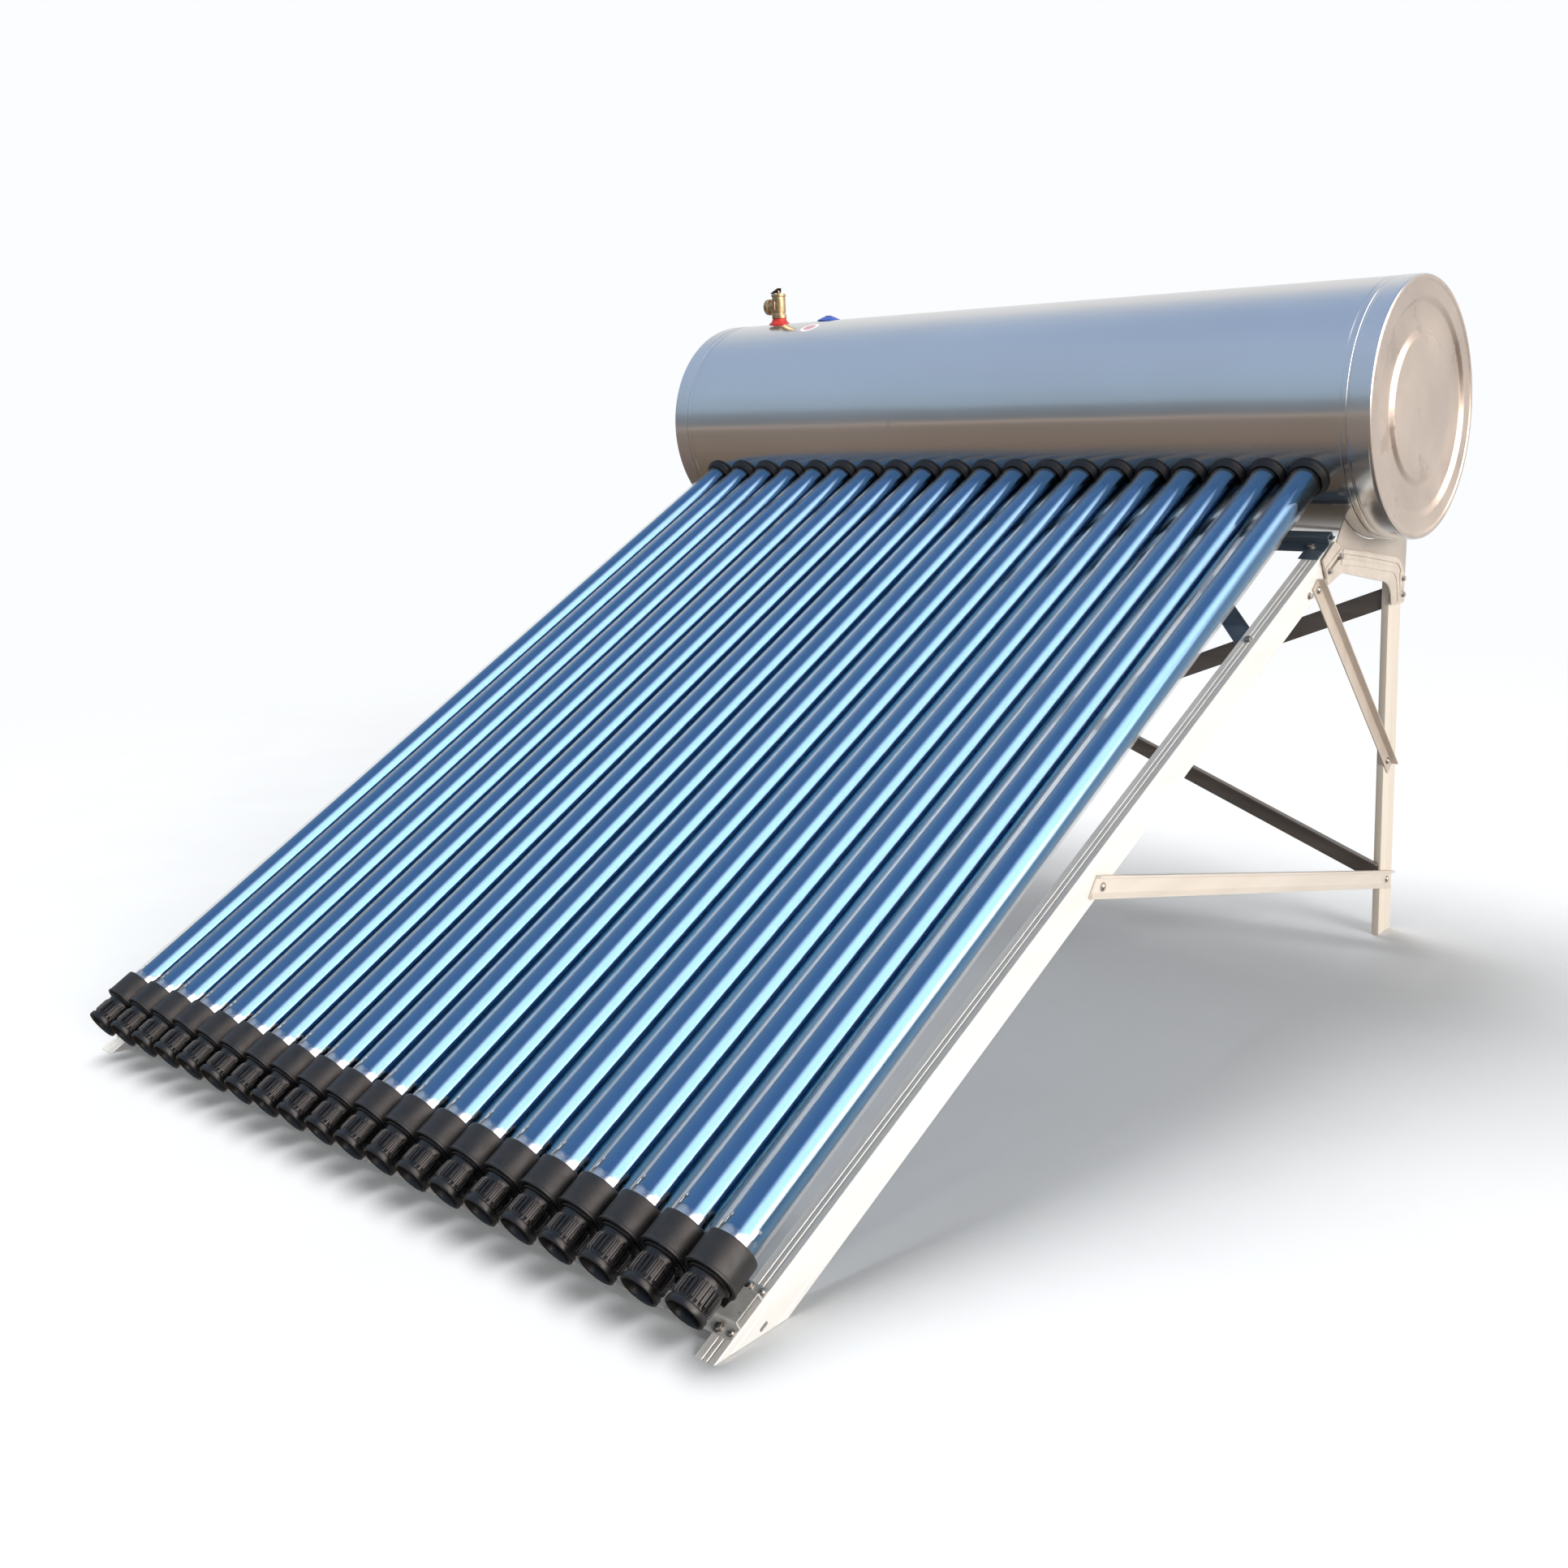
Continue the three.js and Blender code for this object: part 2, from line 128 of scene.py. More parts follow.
def surface(name, low, high, metallic, rough, scale, stretch=(1, 1, 1), turn=(0, 0, 0),
            grain=(900, 0.15, 0.0002), grain_stretch=None, spots=None, **sockets):
    """A material whose colour and roughness drift between two values, with a fine bumped grain."""
    mat = bpy.data.materials.new(name)
    mat.use_nodes = True
    tree = mat.node_tree
    shader = tree.nodes["Principled BSDF"]
    middle = tuple((a + b) / 2 for a, b in zip(rgb(low), rgb(high)))
    mat.diffuse_color = (*middle, 1)
    shader.inputs["Base Color"].default_value = (*middle, 1)
    shader.inputs["Metallic"].default_value = metallic
    shader.inputs["Roughness"].default_value = (rough[0] + rough[1]) / 2
    for key, value in sockets.items():
        shader.inputs[key.replace("_", " ")].default_value = value
    drift = noise(tree, scale, stretch, turn, 5.0, 0.6)
    color = ramp(tree, drift, [(0.33, rgb(low)), (0.67, rgb(high))])
    if spots:
        code, spot_scale, size = spots
        mask = level(tree, noise(tree, spot_scale, detail=6.0, rough=0.7), size, size + 0.08, 0.0, 0.6)
        mixed = add(tree, "Mix", {"Factor": mask}, data_type="RGBA")
        tree.links.new(color, mixed.inputs["A"])
        mixed.inputs["B"].default_value = (*rgb(code), 1)
        color = mixed.outputs["Result"]
    tree.links.new(color, shader.inputs["Base Color"])
    tree.links.new(level(tree, drift, 0.3, 0.7, rough[0], rough[1]), shader.inputs["Roughness"])
    fine = noise(tree, grain[0], grain_stretch or stretch, turn, 3.0, 0.6)
    tree.links.new(bump(tree, fine, grain[1], grain[2]), shader.inputs["Normal"])
    return mat


ALONG_X = (0.04, 1, 1)
ALONG_RAIL = (1, 0.04, 1)
RAIL_TURN = (-RAIL_SLOPE, 0, 0)
CREAM = ("dccfbe", "e6dbcc")

FRAME_RAIL = surface("frame_rail", "e9e5de", "f3f0ea", 0.15, (0.34, 0.46), 14, ALONG_RAIL, RAIL_TURN,
                     (700, 0.25, 0.0003), spots=("c9bda9", 26, 0.66))
FRAME_LEG = surface("frame_leg", *CREAM, 0.12, (0.36, 0.5), 12, (1, 1, 0.06),
                    grain=(700, 0.25, 0.0003), spots=("c4b39f", 30, 0.66))
FRAME_BAR = surface("frame_bar", "d6cabc", "e2d8cc", 0.12, (0.36, 0.5), 12, (1, 0.07, 1),
                    grain=(700, 0.25, 0.0003), spots=("bca893", 30, 0.66))
FRAME_DIAGONAL = surface("frame_diagonal", "b9a999", "cabcae", 0.12, (0.36, 0.5), 12, (1, 1, 0.07),
                         grain=(700, 0.25, 0.0003), spots=("9d8b7a", 30, 0.66))
BRACKET = surface("bracket_cast", "c4b7a9", "d8ccbf", 0.15, (0.42, 0.58), 18,
                  grain=(1200, 0.4, 0.0004), spots=("a89a8b", 40, 0.64))
SADDLE = surface("saddle_plate", "b5a99c", "c6bbaf", 0.35, (0.38, 0.52), 10,
                 grain=(900, 0.25, 0.0003), spots=("988c7f", 34, 0.64))
RACK = surface("rack_galvanised", "c2c1be", "dcdad4", 0.3, (0.36, 0.52), 45, grain=(350, 0.3, 0.0004),
               grain_stretch=(1, 1, 1), spots=("8b867e", 60, 0.62))
DARK = surface("dark_steel", "6a635d", "857d76", 0.35, (0.4, 0.56), 20, ALONG_X,
               grain=(800, 0.3, 0.0003), spots=("5b534c", 50, 0.66))
BLUED = surface("blued_steel", "4a545e", "66737f", 0.5, (0.34, 0.5), 20, ALONG_X,
                grain=(800, 0.3, 0.0003), spots=("2c3138", 50, 0.66))
ZINC = surface("zinc_fixing", "9b958d", "cfcac2", 0.9, (0.22, 0.4), 220, grain=(1500, 0.3, 0.0002))
INNER = surface("inner_tank_steel", "a0a3a6", "b6b8ba", 1.0, (0.25, 0.4), 14, (1, 0.1, 0.1))
RUBBER = surface("seal_rubber", "0b0c0e", "15161a", 0.0, (0.42, 0.6), 60, grain=(2200, 0.35, 0.0003))
RING = surface("ring_plastic", "151616", "211f1e", 0.0, (0.4, 0.54), 55, grain=(2600, 0.4, 0.0002),
               spots=("3b3733", 90, 0.68))
CUP = surface("cup_plastic", "0d0d0e", "171616", 0.0, (0.26, 0.4), 70, grain=(2600, 0.35, 0.0002),
              spots=("2a2725", 110, 0.7))
BRASS = surface("valve_brass", "ae926e", "cbb28d", 1.0, (0.34, 0.46), 120, grain=(2000, 0.3, 0.0002),
                spots=("8c7150", 160, 0.62))
LEVER = surface("valve_lever", "2b211c", "45362d", 0.3, (0.35, 0.5), 120, grain=(2400, 0.4, 0.0002))
RED = surface("red_silicone", "c92c2a", "dd4340", 0.0, (0.34, 0.46), 90, grain=(2200, 0.3, 0.0002))
BLUE = surface("blue_silicone", "2a4aa0", "3c60bb", 0.0, (0.34, 0.46), 90, grain=(2200, 0.3, 0.0002))
BLUE_DARK = surface("blue_silicone_nub", "1a2c66", "263b80", 0.0, (0.34, 0.46), 90,
                    grain=(2200, 0.3, 0.0002))
SPRING = surface("spring_clip_steel", "b9bcc0", "e6e8ea", 1.0, (0.12, 0.24), 300, grain=(2000, 0.2, 0.0002))


def shell_material():
    """Polished stainless sheet: sharp reflections, a rolled grain round the tank and slight waves."""
    mat = surface("shell_steel", "d9d8d7", "e2e2e1", 1.0, (0.12, 0.17), 2.2, (0.5, 1, 1),
                  spots=("cfccc9", 7, 0.66))
    tree = mat.node_tree
    shader = tree.nodes["Principled BSDF"]
    grain = bump(tree, noise(tree, 1400, (1, 0.08, 0.08), detail=3.0), 0.06, 0.0001)
    waves = noise(tree, 3.2, (0.9, 1.6, 1.6), detail=1.0)
    tree.links.new(bump(tree, waves, 0.3, 0.004, grain), shader.inputs["Normal"])
    return mat


def cap_material():
    """Satin steel on the face, tinted beige by a painted warm reflection, and polished like the shell on
    the skirt.
    """
    # The beige face colours are a painted warm reflection laid into the steel's colour.
    mat = surface("cap_steel", "c6b6a9", "d6c7ba", 0.95, (0.27, 0.38), 8, grain=(1600, 0.18, 0.0002),
                  grain_stretch=(1, 1, 1), spots=("b8a79b", 13, 0.57))
    tree = mat.node_tree
    shader = tree.nodes["Principled BSDF"]
    face_painted_reflection = shader.inputs["Base Color"].links[0].from_socket
    face_rough = shader.inputs["Roughness"].links[0].from_socket
    where = add(tree, "TexCoord").outputs["Object"]
    axis = (0, TANK_Y * MM, TANK_Z * MM)
    away = add(tree, "VectorMath", {0: where, 1: axis}, operation="SUBTRACT").outputs[0]
    flat = add(tree, "VectorMath", {0: away, 1: (0, 1, 1)}, operation="MULTIPLY").outputs[0]
    radius = add(tree, "VectorMath", {0: flat}, operation="LENGTH").outputs["Value"]
    skirt = level(tree, radius, CAP_R * MM - 0.003, CAP_R * MM - 0.0015, 0.0, 1.0)
    color = add(tree, "Mix", {"Factor": skirt}, data_type="RGBA")
    tree.links.new(face_painted_reflection, color.inputs["A"])
    steel = ramp(tree, noise(tree, 5, (0.5, 1, 1)), [(0.3, rgb("d6d6d7")), (0.7, rgb("e1e1e1"))])
    tree.links.new(steel, color.inputs["B"])
    tree.links.new(color.outputs["Result"], shader.inputs["Base Color"])
    rough = add(tree, "Mix", {"Factor": skirt, "B": 0.16}, data_type="FLOAT")
    tree.links.new(face_rough, rough.inputs["A"])
    tree.links.new(rough.outputs["Result"], shader.inputs["Roughness"])
    return mat


def see_through(name, shader_of, cover_of):
    """A material that mixes a clear surface with another shader by a computed cover."""
    mat = bpy.data.materials.new(name)
    mat.use_nodes = True
    tree = mat.node_tree
    tree.nodes.remove(tree.nodes["Principled BSDF"])
    mix = add(tree, "MixShader", {"Fac": cover_of(tree)})
    tree.links.new(add(tree, "BsdfTransparent").outputs[0], mix.inputs[1])
    tree.links.new(shader_of(tree), mix.inputs[2])
    tree.links.new(mix.outputs[0], tree.nodes["Material Output"].inputs["Surface"])
    return mat


def glass_cover(tree):
    """Share of light that a clear glass wall reflects: little face on, all of it at a glance."""
    facing = add(tree, "LayerWeight", {"Blend": 0.5}).outputs["Facing"]
    power = add(tree, "Math", {0: facing, 1: 5.5}, operation="POWER").outputs[0]
    return level(tree, power, 0.0, 1.0, 0.045, 0.92, "LINEAR")


def glass_gloss(tree):
    rough = level(tree, noise(tree, 40, detail=3.0), 0.3, 0.7, 0.02, 0.05)
    found = {"Color": (0.97, 0.99, 1, 1), "Roughness": rough}
    return add(tree, "BsdfAnisotropic", found, distribution="GGX").outputs[0]


def silver_cover(tree):
    """Getter mirror: full near the tip, fading out with an uneven edge towards the tube's middle."""
    where = add(tree, "TexCoord").outputs["Object"]
    along = add(tree, "SeparateXYZ", {"Vector": where}).outputs["Z"]
    cloud = noise(tree, 60, detail=4.0)
    uneven = level(tree, cloud, 0.2, 0.8, -0.011, 0.011)
    edge = add(tree, "Math", {0: along, 1: uneven}, operation="ADD").outputs[0]
    return level(tree, edge, 1.858, 1.880, 0.0, 0.96)


def silver_gloss(tree):
    color = ramp(tree, noise(tree, 45, detail=4.0), [(0.3, rgb("cfcfd0")), (0.7, rgb("f6f4f1"))])
    rough = level(tree, noise(tree, 60), 0.3, 0.7, 0.08, 0.2)
    return add(tree, "BsdfAnisotropic", {"Color": color, "Roughness": rough}).outputs[0]


def sticker_material():
    """Blank round label: white rim, faint pink middle."""
    mat = surface("sticker_film", "eeecec", "f7f5f5", 0.0, (0.3, 0.4), 120)
    tree = mat.node_tree
    where = add(tree, "TexCoord").outputs["Object"]
    flat = add(tree, "Mapping", {"Vector": where, "Scale": (1 / 0.022, 1 / 0.022, 0)}).outputs[0]
    size = add(tree, "VectorMath", {0: flat}, operation="LENGTH").outputs["Value"]
    speck = level(tree, noise(tree, 300), 0.3, 0.7, -0.03, 0.03)
    size = add(tree, "Math", {0: size, 1: speck}, operation="ADD").outputs[0]
    stops = [(0.0, rgb("c98f9b")), (0.62, rgb("d4a0aa")), (0.72, rgb("f3eff0")), (1.0, rgb("f7f5f5"))]
    tree.links.new(ramp(tree, size, stops), tree.nodes["Principled BSDF"].inputs["Base Color"])
    return mat


SHELL = shell_material()
CAP = cap_material()
ABSORBER = surface("absorber_coating", "3c749f", "4480aa", 1.0, (0.11, 0.13), 12, (1, 1, 0.05),
                   grain=(900, 0.01, 0.0001))
GLASS = see_through("tube_glass", glass_gloss, glass_cover)
SILVER = see_through("getter_silver", silver_gloss, silver_cover)
STICKER = sticker_material()


# Mesh building


def rounded(points, radius, steps=3, loop=True):
    """The points with each corner replaced by a short curve that starts radius away from it."""
    out = []
    count = len(points)
    for i, point in enumerate(points):
        here = Vector(point[:2])
        if not loop and i in (0, count - 1):
            out.append(tuple(here))
            continue
        before = Vector(points[i - 1][:2]) - here
        after = Vector(points[(i + 1) % count][:2]) - here
        size = point[2] if len(point) > 2 else radius
        reach = min(size, 0.45 * before.length, 0.45 * after.length)
        start = here + before.normalized() * reach
        end = here + after.normalized() * reach
        for k in range(steps + 1):
            t = k / steps
            out.append(tuple(start * (1 - t) ** 2 + here * 2 * t * (1 - t) + end * t * t))
    return out


def lathe(profile, segments=64, loop=True, warp=None):
    """(radius, height) points turned about Z. warp(radius, angle, height, row) may move a point."""
    bm = bmesh.new()
    rows = []
    for row, (radius, height) in enumerate(profile):
        if radius < 1e-6:
            place = warp(0, 0, height, row) if warp else (0, 0, height)
            rows.append([bm.verts.new(place)])
            continue
        ring = []
        for k in range(segments):
            angle = 2 * math.pi * k / segments
            plain = (radius * math.cos(angle), radius * math.sin(angle), height)
            ring.append(bm.verts.new(warp(radius, angle, height, row) if warp else plain))
        rows.append(ring)
    for low, high in zip(rows, rows[1:] + (rows[:1] if loop else [])):
        for k in range(segments):
            j = (k + 1) % segments
            corners = [low[k % len(low)], low[j % len(low)], high[j % len(high)], high[k % len(high)]]
            corners = list(dict.fromkeys(corners))
            if len(corners) > 2:
                bm.faces.new(corners)
    return bm


def prism(outline, start, end, start_cut=0.0, end_cut=0.0):
    """An outline of (x, y) points given length along Z. A cut slants that end by its value times y."""
    bm = bmesh.new()
    first = [bm.verts.new((x, y, start + start_cut * y)) for x, y in outline]
    last = [bm.verts.new((x, y, end + end_cut * y)) for x, y in outline]
    for i in range(len(outline)):
        j = (i + 1) % len(outline)
        bm.faces.new((first[i], first[j], last[j], last[i]))
    bm.faces.new(first[::-1])
    bm.faces.new(last)
    return bm


def block(x0, x1, y0, y1, z0, z1):
    return prism([(x0, y0), (x1, y0), (x1, y1), (x0, y1)], z0, z1)


def soften(bm, width, segments=2, angle=32):
    """Bevels every edge sharper than the angle."""
    bmesh.ops.recalc_face_normals(bm, faces=bm.faces)
    edges = [e for e in bm.edges if e.is_manifold and e.calc_face_angle(0) > math.radians(angle)]
    bmesh.ops.bevel(bm, geom=edges, offset=width, offset_type="OFFSET", segments=segments,
                    profile=0.5, affect="EDGES", clamp_overlap=True)
    return bm


def put(bm, origin=(0, 0, 0), ex=(1, 0, 0), ey=(0, 1, 0), ez=(0, 0, 1)):
    """Moves bm so that its own axes lie along ex, ey and ez, from the origin."""
    matrix = Matrix((ex, ey, ez)).transposed().to_4x4()
    matrix.translation = origin
    bm.transform(matrix)
    return bm


def mirrored(bm, side):
    if side < 0:
        bm.transform(Matrix.Scale(-1, 4, (1, 0, 0)))
    return bm


def joined(*parts):
    out = bmesh.new()
    for part in parts:
        mesh = bpy.data.meshes.new("part")
        part.to_mesh(mesh)
        part.free()
        out.from_mesh(mesh)
        bpy.data.meshes.remove(mesh)
    return out


def carved(bm, *cutters):
    """bm with the cutters' volume taken out."""
    pair = []
    for part in (bm, joined(*cutters)):
        bmesh.ops.recalc_face_normals(part, faces=part.faces)
        mesh = bpy.data.meshes.new("carve")
        part.to_mesh(mesh)
        part.free()
        pair.append(bpy.data.objects.new("carve", mesh))
        bpy.context.scene.collection.objects.link(pair[-1])
    modifier = pair[0].modifiers.new("carve", "BOOLEAN")
    modifier.object = pair[1]
    modifier.solver = "EXACT"
    shape = pair[0].evaluated_get(bpy.context.evaluated_depsgraph_get())
    out = bmesh.new()
    out.from_mesh(shape.data)
    for obj in pair:
        mesh = obj.data
        bpy.data.objects.remove(obj)
        bpy.data.meshes.remove(mesh)
    return out


def piece(name, bm, mat, body="heater", replaces=(), sharp=35, at=None):
    """Makes the object, smooth but for its sharp edges, and ties it to the frame."""
    bmesh.ops.recalc_face_normals(bm, faces=bm.faces)
    bm.transform(Matrix.Scale(MM, 4))
    mesh = bpy.data.meshes.new(name)
    bm.to_mesh(mesh)
    bm.free()
    mesh.polygons.foreach_set("use_smooth", [True] * len(mesh.polygons))
    mesh.set_sharp_from_angle(angle=math.radians(sharp))
    mesh.materials.append(mat)
    obj = bpy.data.objects.new(name, mesh)
    bpy.context.scene.collection.objects.link(obj)
    if at is not None:
        obj.matrix_world = at
    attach(obj, body)
    if replaces:
        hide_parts(*replaces)
    return obj


def radial(x, degrees):
    """Frame on the tank axis whose Z points out at that angle, forward from straight up."""
    turn = math.radians(degrees)
    axes = ((1, 0, 0), (0, math.cos(turn), math.sin(turn)), (0, -math.sin(turn), math.cos(turn)))
    matrix = Matrix(axes).transposed().to_4x4()
    matrix.translation = (x * MM, TANK_Y * MM, TANK_Z * MM)
    return matrix


def placed(bm, x, degrees):
    """bm moved into the shared frame from a frame made by radial()."""
    matrix = radial(x, degrees)
    matrix.translation = matrix.translation / MM
    bm.transform(matrix)
    return bm


def on_tank(radius, angle, height, _):
    """Warp that lays a lathe's heights on the tank, as seen from a frame made by radial()."""
    x = radius * math.cos(angle)
    y = radius * math.sin(angle)
    return (x, y, math.sqrt(TANK_R ** 2 - y ** 2) + height)


def rail_axes(height=0.0):
    """Origin and axes for shapes drawn as (x, height, along) on the rails, from that height up."""
    up = Vector((0, -math.sin(RAIL_SLOPE), math.cos(RAIL_SLOPE)))
    along = Vector((0, math.cos(RAIL_SLOPE), math.sin(RAIL_SLOPE)))
    return Vector((0, RAIL_TIP_Y, 0)) + up * height, (1, 0, 0), up, along


def rail_point(x, along, height):
    origin, _, _, direction = rail_axes(height)
    return Vector((x, 0, 0)) + origin + direction * along


# Fixings


def fixing(name, at, normal, size=8, hexagon=True, mat=None):
    """A washer with a hexagon or round head, standing out along the normal."""
    washer = lathe(rounded([(0.2 * size, 0), (size, 0), (size, 1.5), (0.2 * size, 1.5)], 0.4), 28)
    if hexagon:
        reach = 0.92 * size * 0.86
        turns = [k * math.pi / 3 for k in range(6)]
        corners = [(reach * math.cos(turn), reach * math.sin(turn)) for turn in turns]
        head = soften(prism(corners, 1.5, 1.5 + 0.6 * size), 0.09 * size, 2)
    else:
        dome = [(0, 1.5 + 0.42 * size)]
        for t in (0.35, 0.7, 1.05, 1.35):
            dome.append((0.75 * size * math.sin(t), 1.5 + 0.42 * size * math.cos(t)))
        head = lathe(dome + [(0.75 * size, 1.4), (0, 1.4)], 28, loop=False)
    both = joined(washer, head)
    out = Vector(normal).normalized()
    side = out.orthogonal().normalized()
    put(both, Vector(at), side, out.cross(side), out)
    return piece(name, both, mat or ZINC)


# Tank


def tank_shell():
    """Thin rolled sheet with small end lips and a hole for each tube and for the valve."""
    wall = 1.2
    outer = [(TANK_R - 0.6, -SHELL_END), (TANK_R, -SHELL_END + 0.6), (TANK_R, -SHELL_END + 9)]
    outer += [(TANK_R - 0.7, -SHELL_END + 10.5), (TANK_R - 0.7, -SHELL_END + 12)]
    outer += [(TANK_R, -SHELL_END + 13.5)]
    outer += [(TANK_R, x) for x in (-500, -250, 0)]
    profile = outer + [(r, -x) for r, x in reversed(outer[:-1])]
    profile += [(TANK_R - wall - 0.8, SHELL_END), (TANK_R - wall - 0.8, -SHELL_END)]
    bm = put(lathe(profile, 192), (0, TANK_Y, TANK_Z), (0, 1, 0), (0, 0, 1), (1, 0, 0))
    cutters = []
    for x, degrees, radius in [(x, TUBE_ANGLE, 31) for x in TUBE_XS] + [(VALVE_X, 0, 15)]:
        cutter = lathe([(0, 150), (radius, 150), (radius, 260), (0, 260)], 40, loop=False)
        cutters.append(placed(cutter, x, degrees))
    obj = piece("tank_shell", carved(bm, *cutters), SHELL, replaces=("outer_shell",))
    # Shade the rolled sheet as a true cylinder, whatever faces the holes leave.
    mesh = obj.data
    axis = Vector((0, TANK_Y * MM, TANK_Z * MM))
    normals = []
    for polygon in mesh.polygons:
        for index in polygon.vertices:
            away = mesh.vertices[index].co - axis
            away.x = 0
            away.normalize()
            share = polygon.normal.dot(away)
            normals.append(away if share > 0.995 else -away if share < -0.995 else polygon.normal)
    mesh.normals_split_custom_set(normals)


def end_cap(side):
    """Pressed cap: skirt with a bead, rolled rim, a recessed ring and a raised centre disc."""
    end, wall = CAP_END, 1.4
    outer = [
        (CAP_R - 0.8, CAP_START, 0.3), (CAP_R - 0.8, CAP_START + 3, 1), (CAP_R, CAP_START + 4.5, 1),
        (CAP_R, end - 6, 1), (CAP_R - 0.8, end - 1.8, 2), (CAP_R - 4.5, end, 2), (CAP_R - 9, end, 2),
        (CAP_R - 13, end - 2.2, 2), (190, end - 2.2, 2.5), (181, end - 9, 3), (134, end - 9, 3),
        (125, end - 2.2, 3), (60, end - 2.6, 4), (0, end - 2.8),
    ]
    inner = [(CAP_R - wall - 0.8, CAP_START, 0.3), (CAP_R - wall - 0.6, end - 7, 1)]
    inner += [(CAP_R - 5, end - 2.2 - wall, 1), (190, end - 2.2 - wall, 2.5), (181, end - 9 - wall, 3)]
    inner += [(134, end - 9 - wall, 3), (125, end - 2.2 - wall, 3), (60, end - 2.6 - wall, 4)]
    inner += [(0, end - 2.8 - wall)]
    bm = lathe(rounded(inner[::-1] + outer, 1, 4, loop=False), 160, loop=False)
    put(bm, (0, TANK_Y, TANK_Z), (0, 1, 0), (0, 0, 1), (1, 0, 0))
    name = "right" if side > 0 else "left"
    piece(f"tank_end_cap_{name}", mirrored(bm, side), CAP,
          replaces=(f"end_cap_{name}",), sharp=50)


tank_shell()
for _, side in SIDES:
    end_cap(side)
frame["nodes"]["inner_tank"].data.materials.clear()
frame["nodes"]["inner_tank"].data.materials.append(INNER)


# Tubes. Places along a tube are measured from the tank's axis.


def dome(radius, tip, steps=9):
    """Profile points of a round tube end, from near the axis at the tip to the full radius."""
    turns = [math.pi / 2 * (1 - k / steps) for k in range(1, steps + 1)]
    return [(radius * math.cos(t), tip - radius + radius * math.sin(t)) for t in turns]


def walled(radius, wall, tip, mouth, segments):
    """Open tube with a round closed tip."""
    outer = [(0, tip)] + dome(radius, tip) + [(radius, mouth)]
    inner = [(0, tip - wall)] + dome(radius - wall, tip - wall) + [(radius - wall, mouth)]
    return lathe(outer + inner[::-1], segments, loop=False)


def spring_clip():
    """Three thin spring strips that hold the inner tube, each with an S bend."""
    bends = [(-3.5, 1884), (-3.5, 1867), (-2.5, 1863), (1.5, 1859)]
    bends += [(2.5, 1855), (2.0, 1850), (3.5, 1847), (8, 1846)]
    line = rounded(bends, 2.0, 3, loop=False)
    bm = bmesh.new()
    for start in (-38, 62, 165):
        rows = []
        for i, (aside, along) in enumerate(line):
            ahead = Vector(line[min(i + 1, len(line) - 1)]) - Vector(line[max(i - 1, 0)])
            across = Vector((ahead.y, -ahead.x)).normalized() * 1.9
            row = []
            for offset, radius in ((across, 26.9), (-across, 26.9), (-across, 26.3), (across, 26.3)):
                angle = math.radians(start) + (aside + offset.x) / radius
                place = (radius * math.sin(angle), radius * math.cos(angle), along + offset.y)
                row.append(bm.verts.new(place))
            rows.append(row)
        for low, high in zip(rows, rows[1:]):
            for k in range(4):
                j = (k + 1) % 4
                bm.faces.new((low[k], low[j], high[j], high[k]))
        bm.faces.new(rows[0])
        bm.faces.new(rows[-1][::-1])
    return bm


def dust_seal():
    profile = [(29.5, -3), (30.6, -3), (30.6, 0.2), (37.2, 0.2), (37.4, 2.6), (36.4, 6), (34.2, 9.2)]
    profile += [(32, 12), (30.8, 13.6), (29.6, 13.8)]
    return lathe(rounded(profile, 1.2), 56, warp=on_tank)


def holder_ring():
    """Plastic band round the tube's end, on a foot with hooks into the rack."""
    profile = [(31.2, 1872), (34.4, 1872), (35.5, 1873.4), (35.5, 1912.5)]
    profile += [(36.3, 1914), (36.3, 1917), (31.2, 1917)]
    band = lathe(rounded(profile, 0.8), 64)
    foot = soften(prism([(-18, -30.9), (-8, -31.4), (8, -31.4), (18, -30.9), (10.5, -39), (9, -42.2),
                         (-9, -42.2), (-10.5, -39)], 1893, 1917), 0.7)
    sole = soften(block(-9, 9, -42.6, -39.6, 1890, 1923), 0.6)
    hooks = [soften(block(0.6, 6.6, -46, -41, low, low + 4.5), 0.5) for low in (1897, 1918)]
    return joined(band, foot, sole, *hooks)


def ribbed_cup():
    """Screw cup: neck, smooth shoulder, raised grip ribs, and a rim round a deep recess."""
    profile = [
        (0, 1917.5), (10, 1916), (18, 1911.5), (24, 1904), (26.4, 1900), (29.2, 1900), (29.6, 1901),
        (29.6, 1918), (28.6, 1919.4), (25.6, 1920.6), (24.9, 1922.5), (24.9, 1925), (24.6, 1927.5),
        (24.3, 1931), (24.3, 1950), (24.4, 1953.5), (24.6, 1955), (26.4, 1956.2), (27, 1957.6),
        (27, 1962.6), (26.4, 1964.4), (24.8, 1965), (23.4, 1964.6), (22.4, 1962.5), (21.9, 1950),
        (21, 1948.6), (0, 1948),
    ]
    rib_rows = {13: 1.0, 14: 1.0, 12: 0.2, 15: 0.2}

    def warp(radius, angle, height, row):
        wave = math.cos(24 * angle)
        lift = 2.6 * rib_rows.get(row, 0.0) * min(1.0, max(0.0, 0.35 + 1.9 * wave))
        return ((radius + lift) * math.cos(angle), (radius + lift) * math.sin(angle), height)

    return lathe(profile, 240, loop=False, warp=warp)


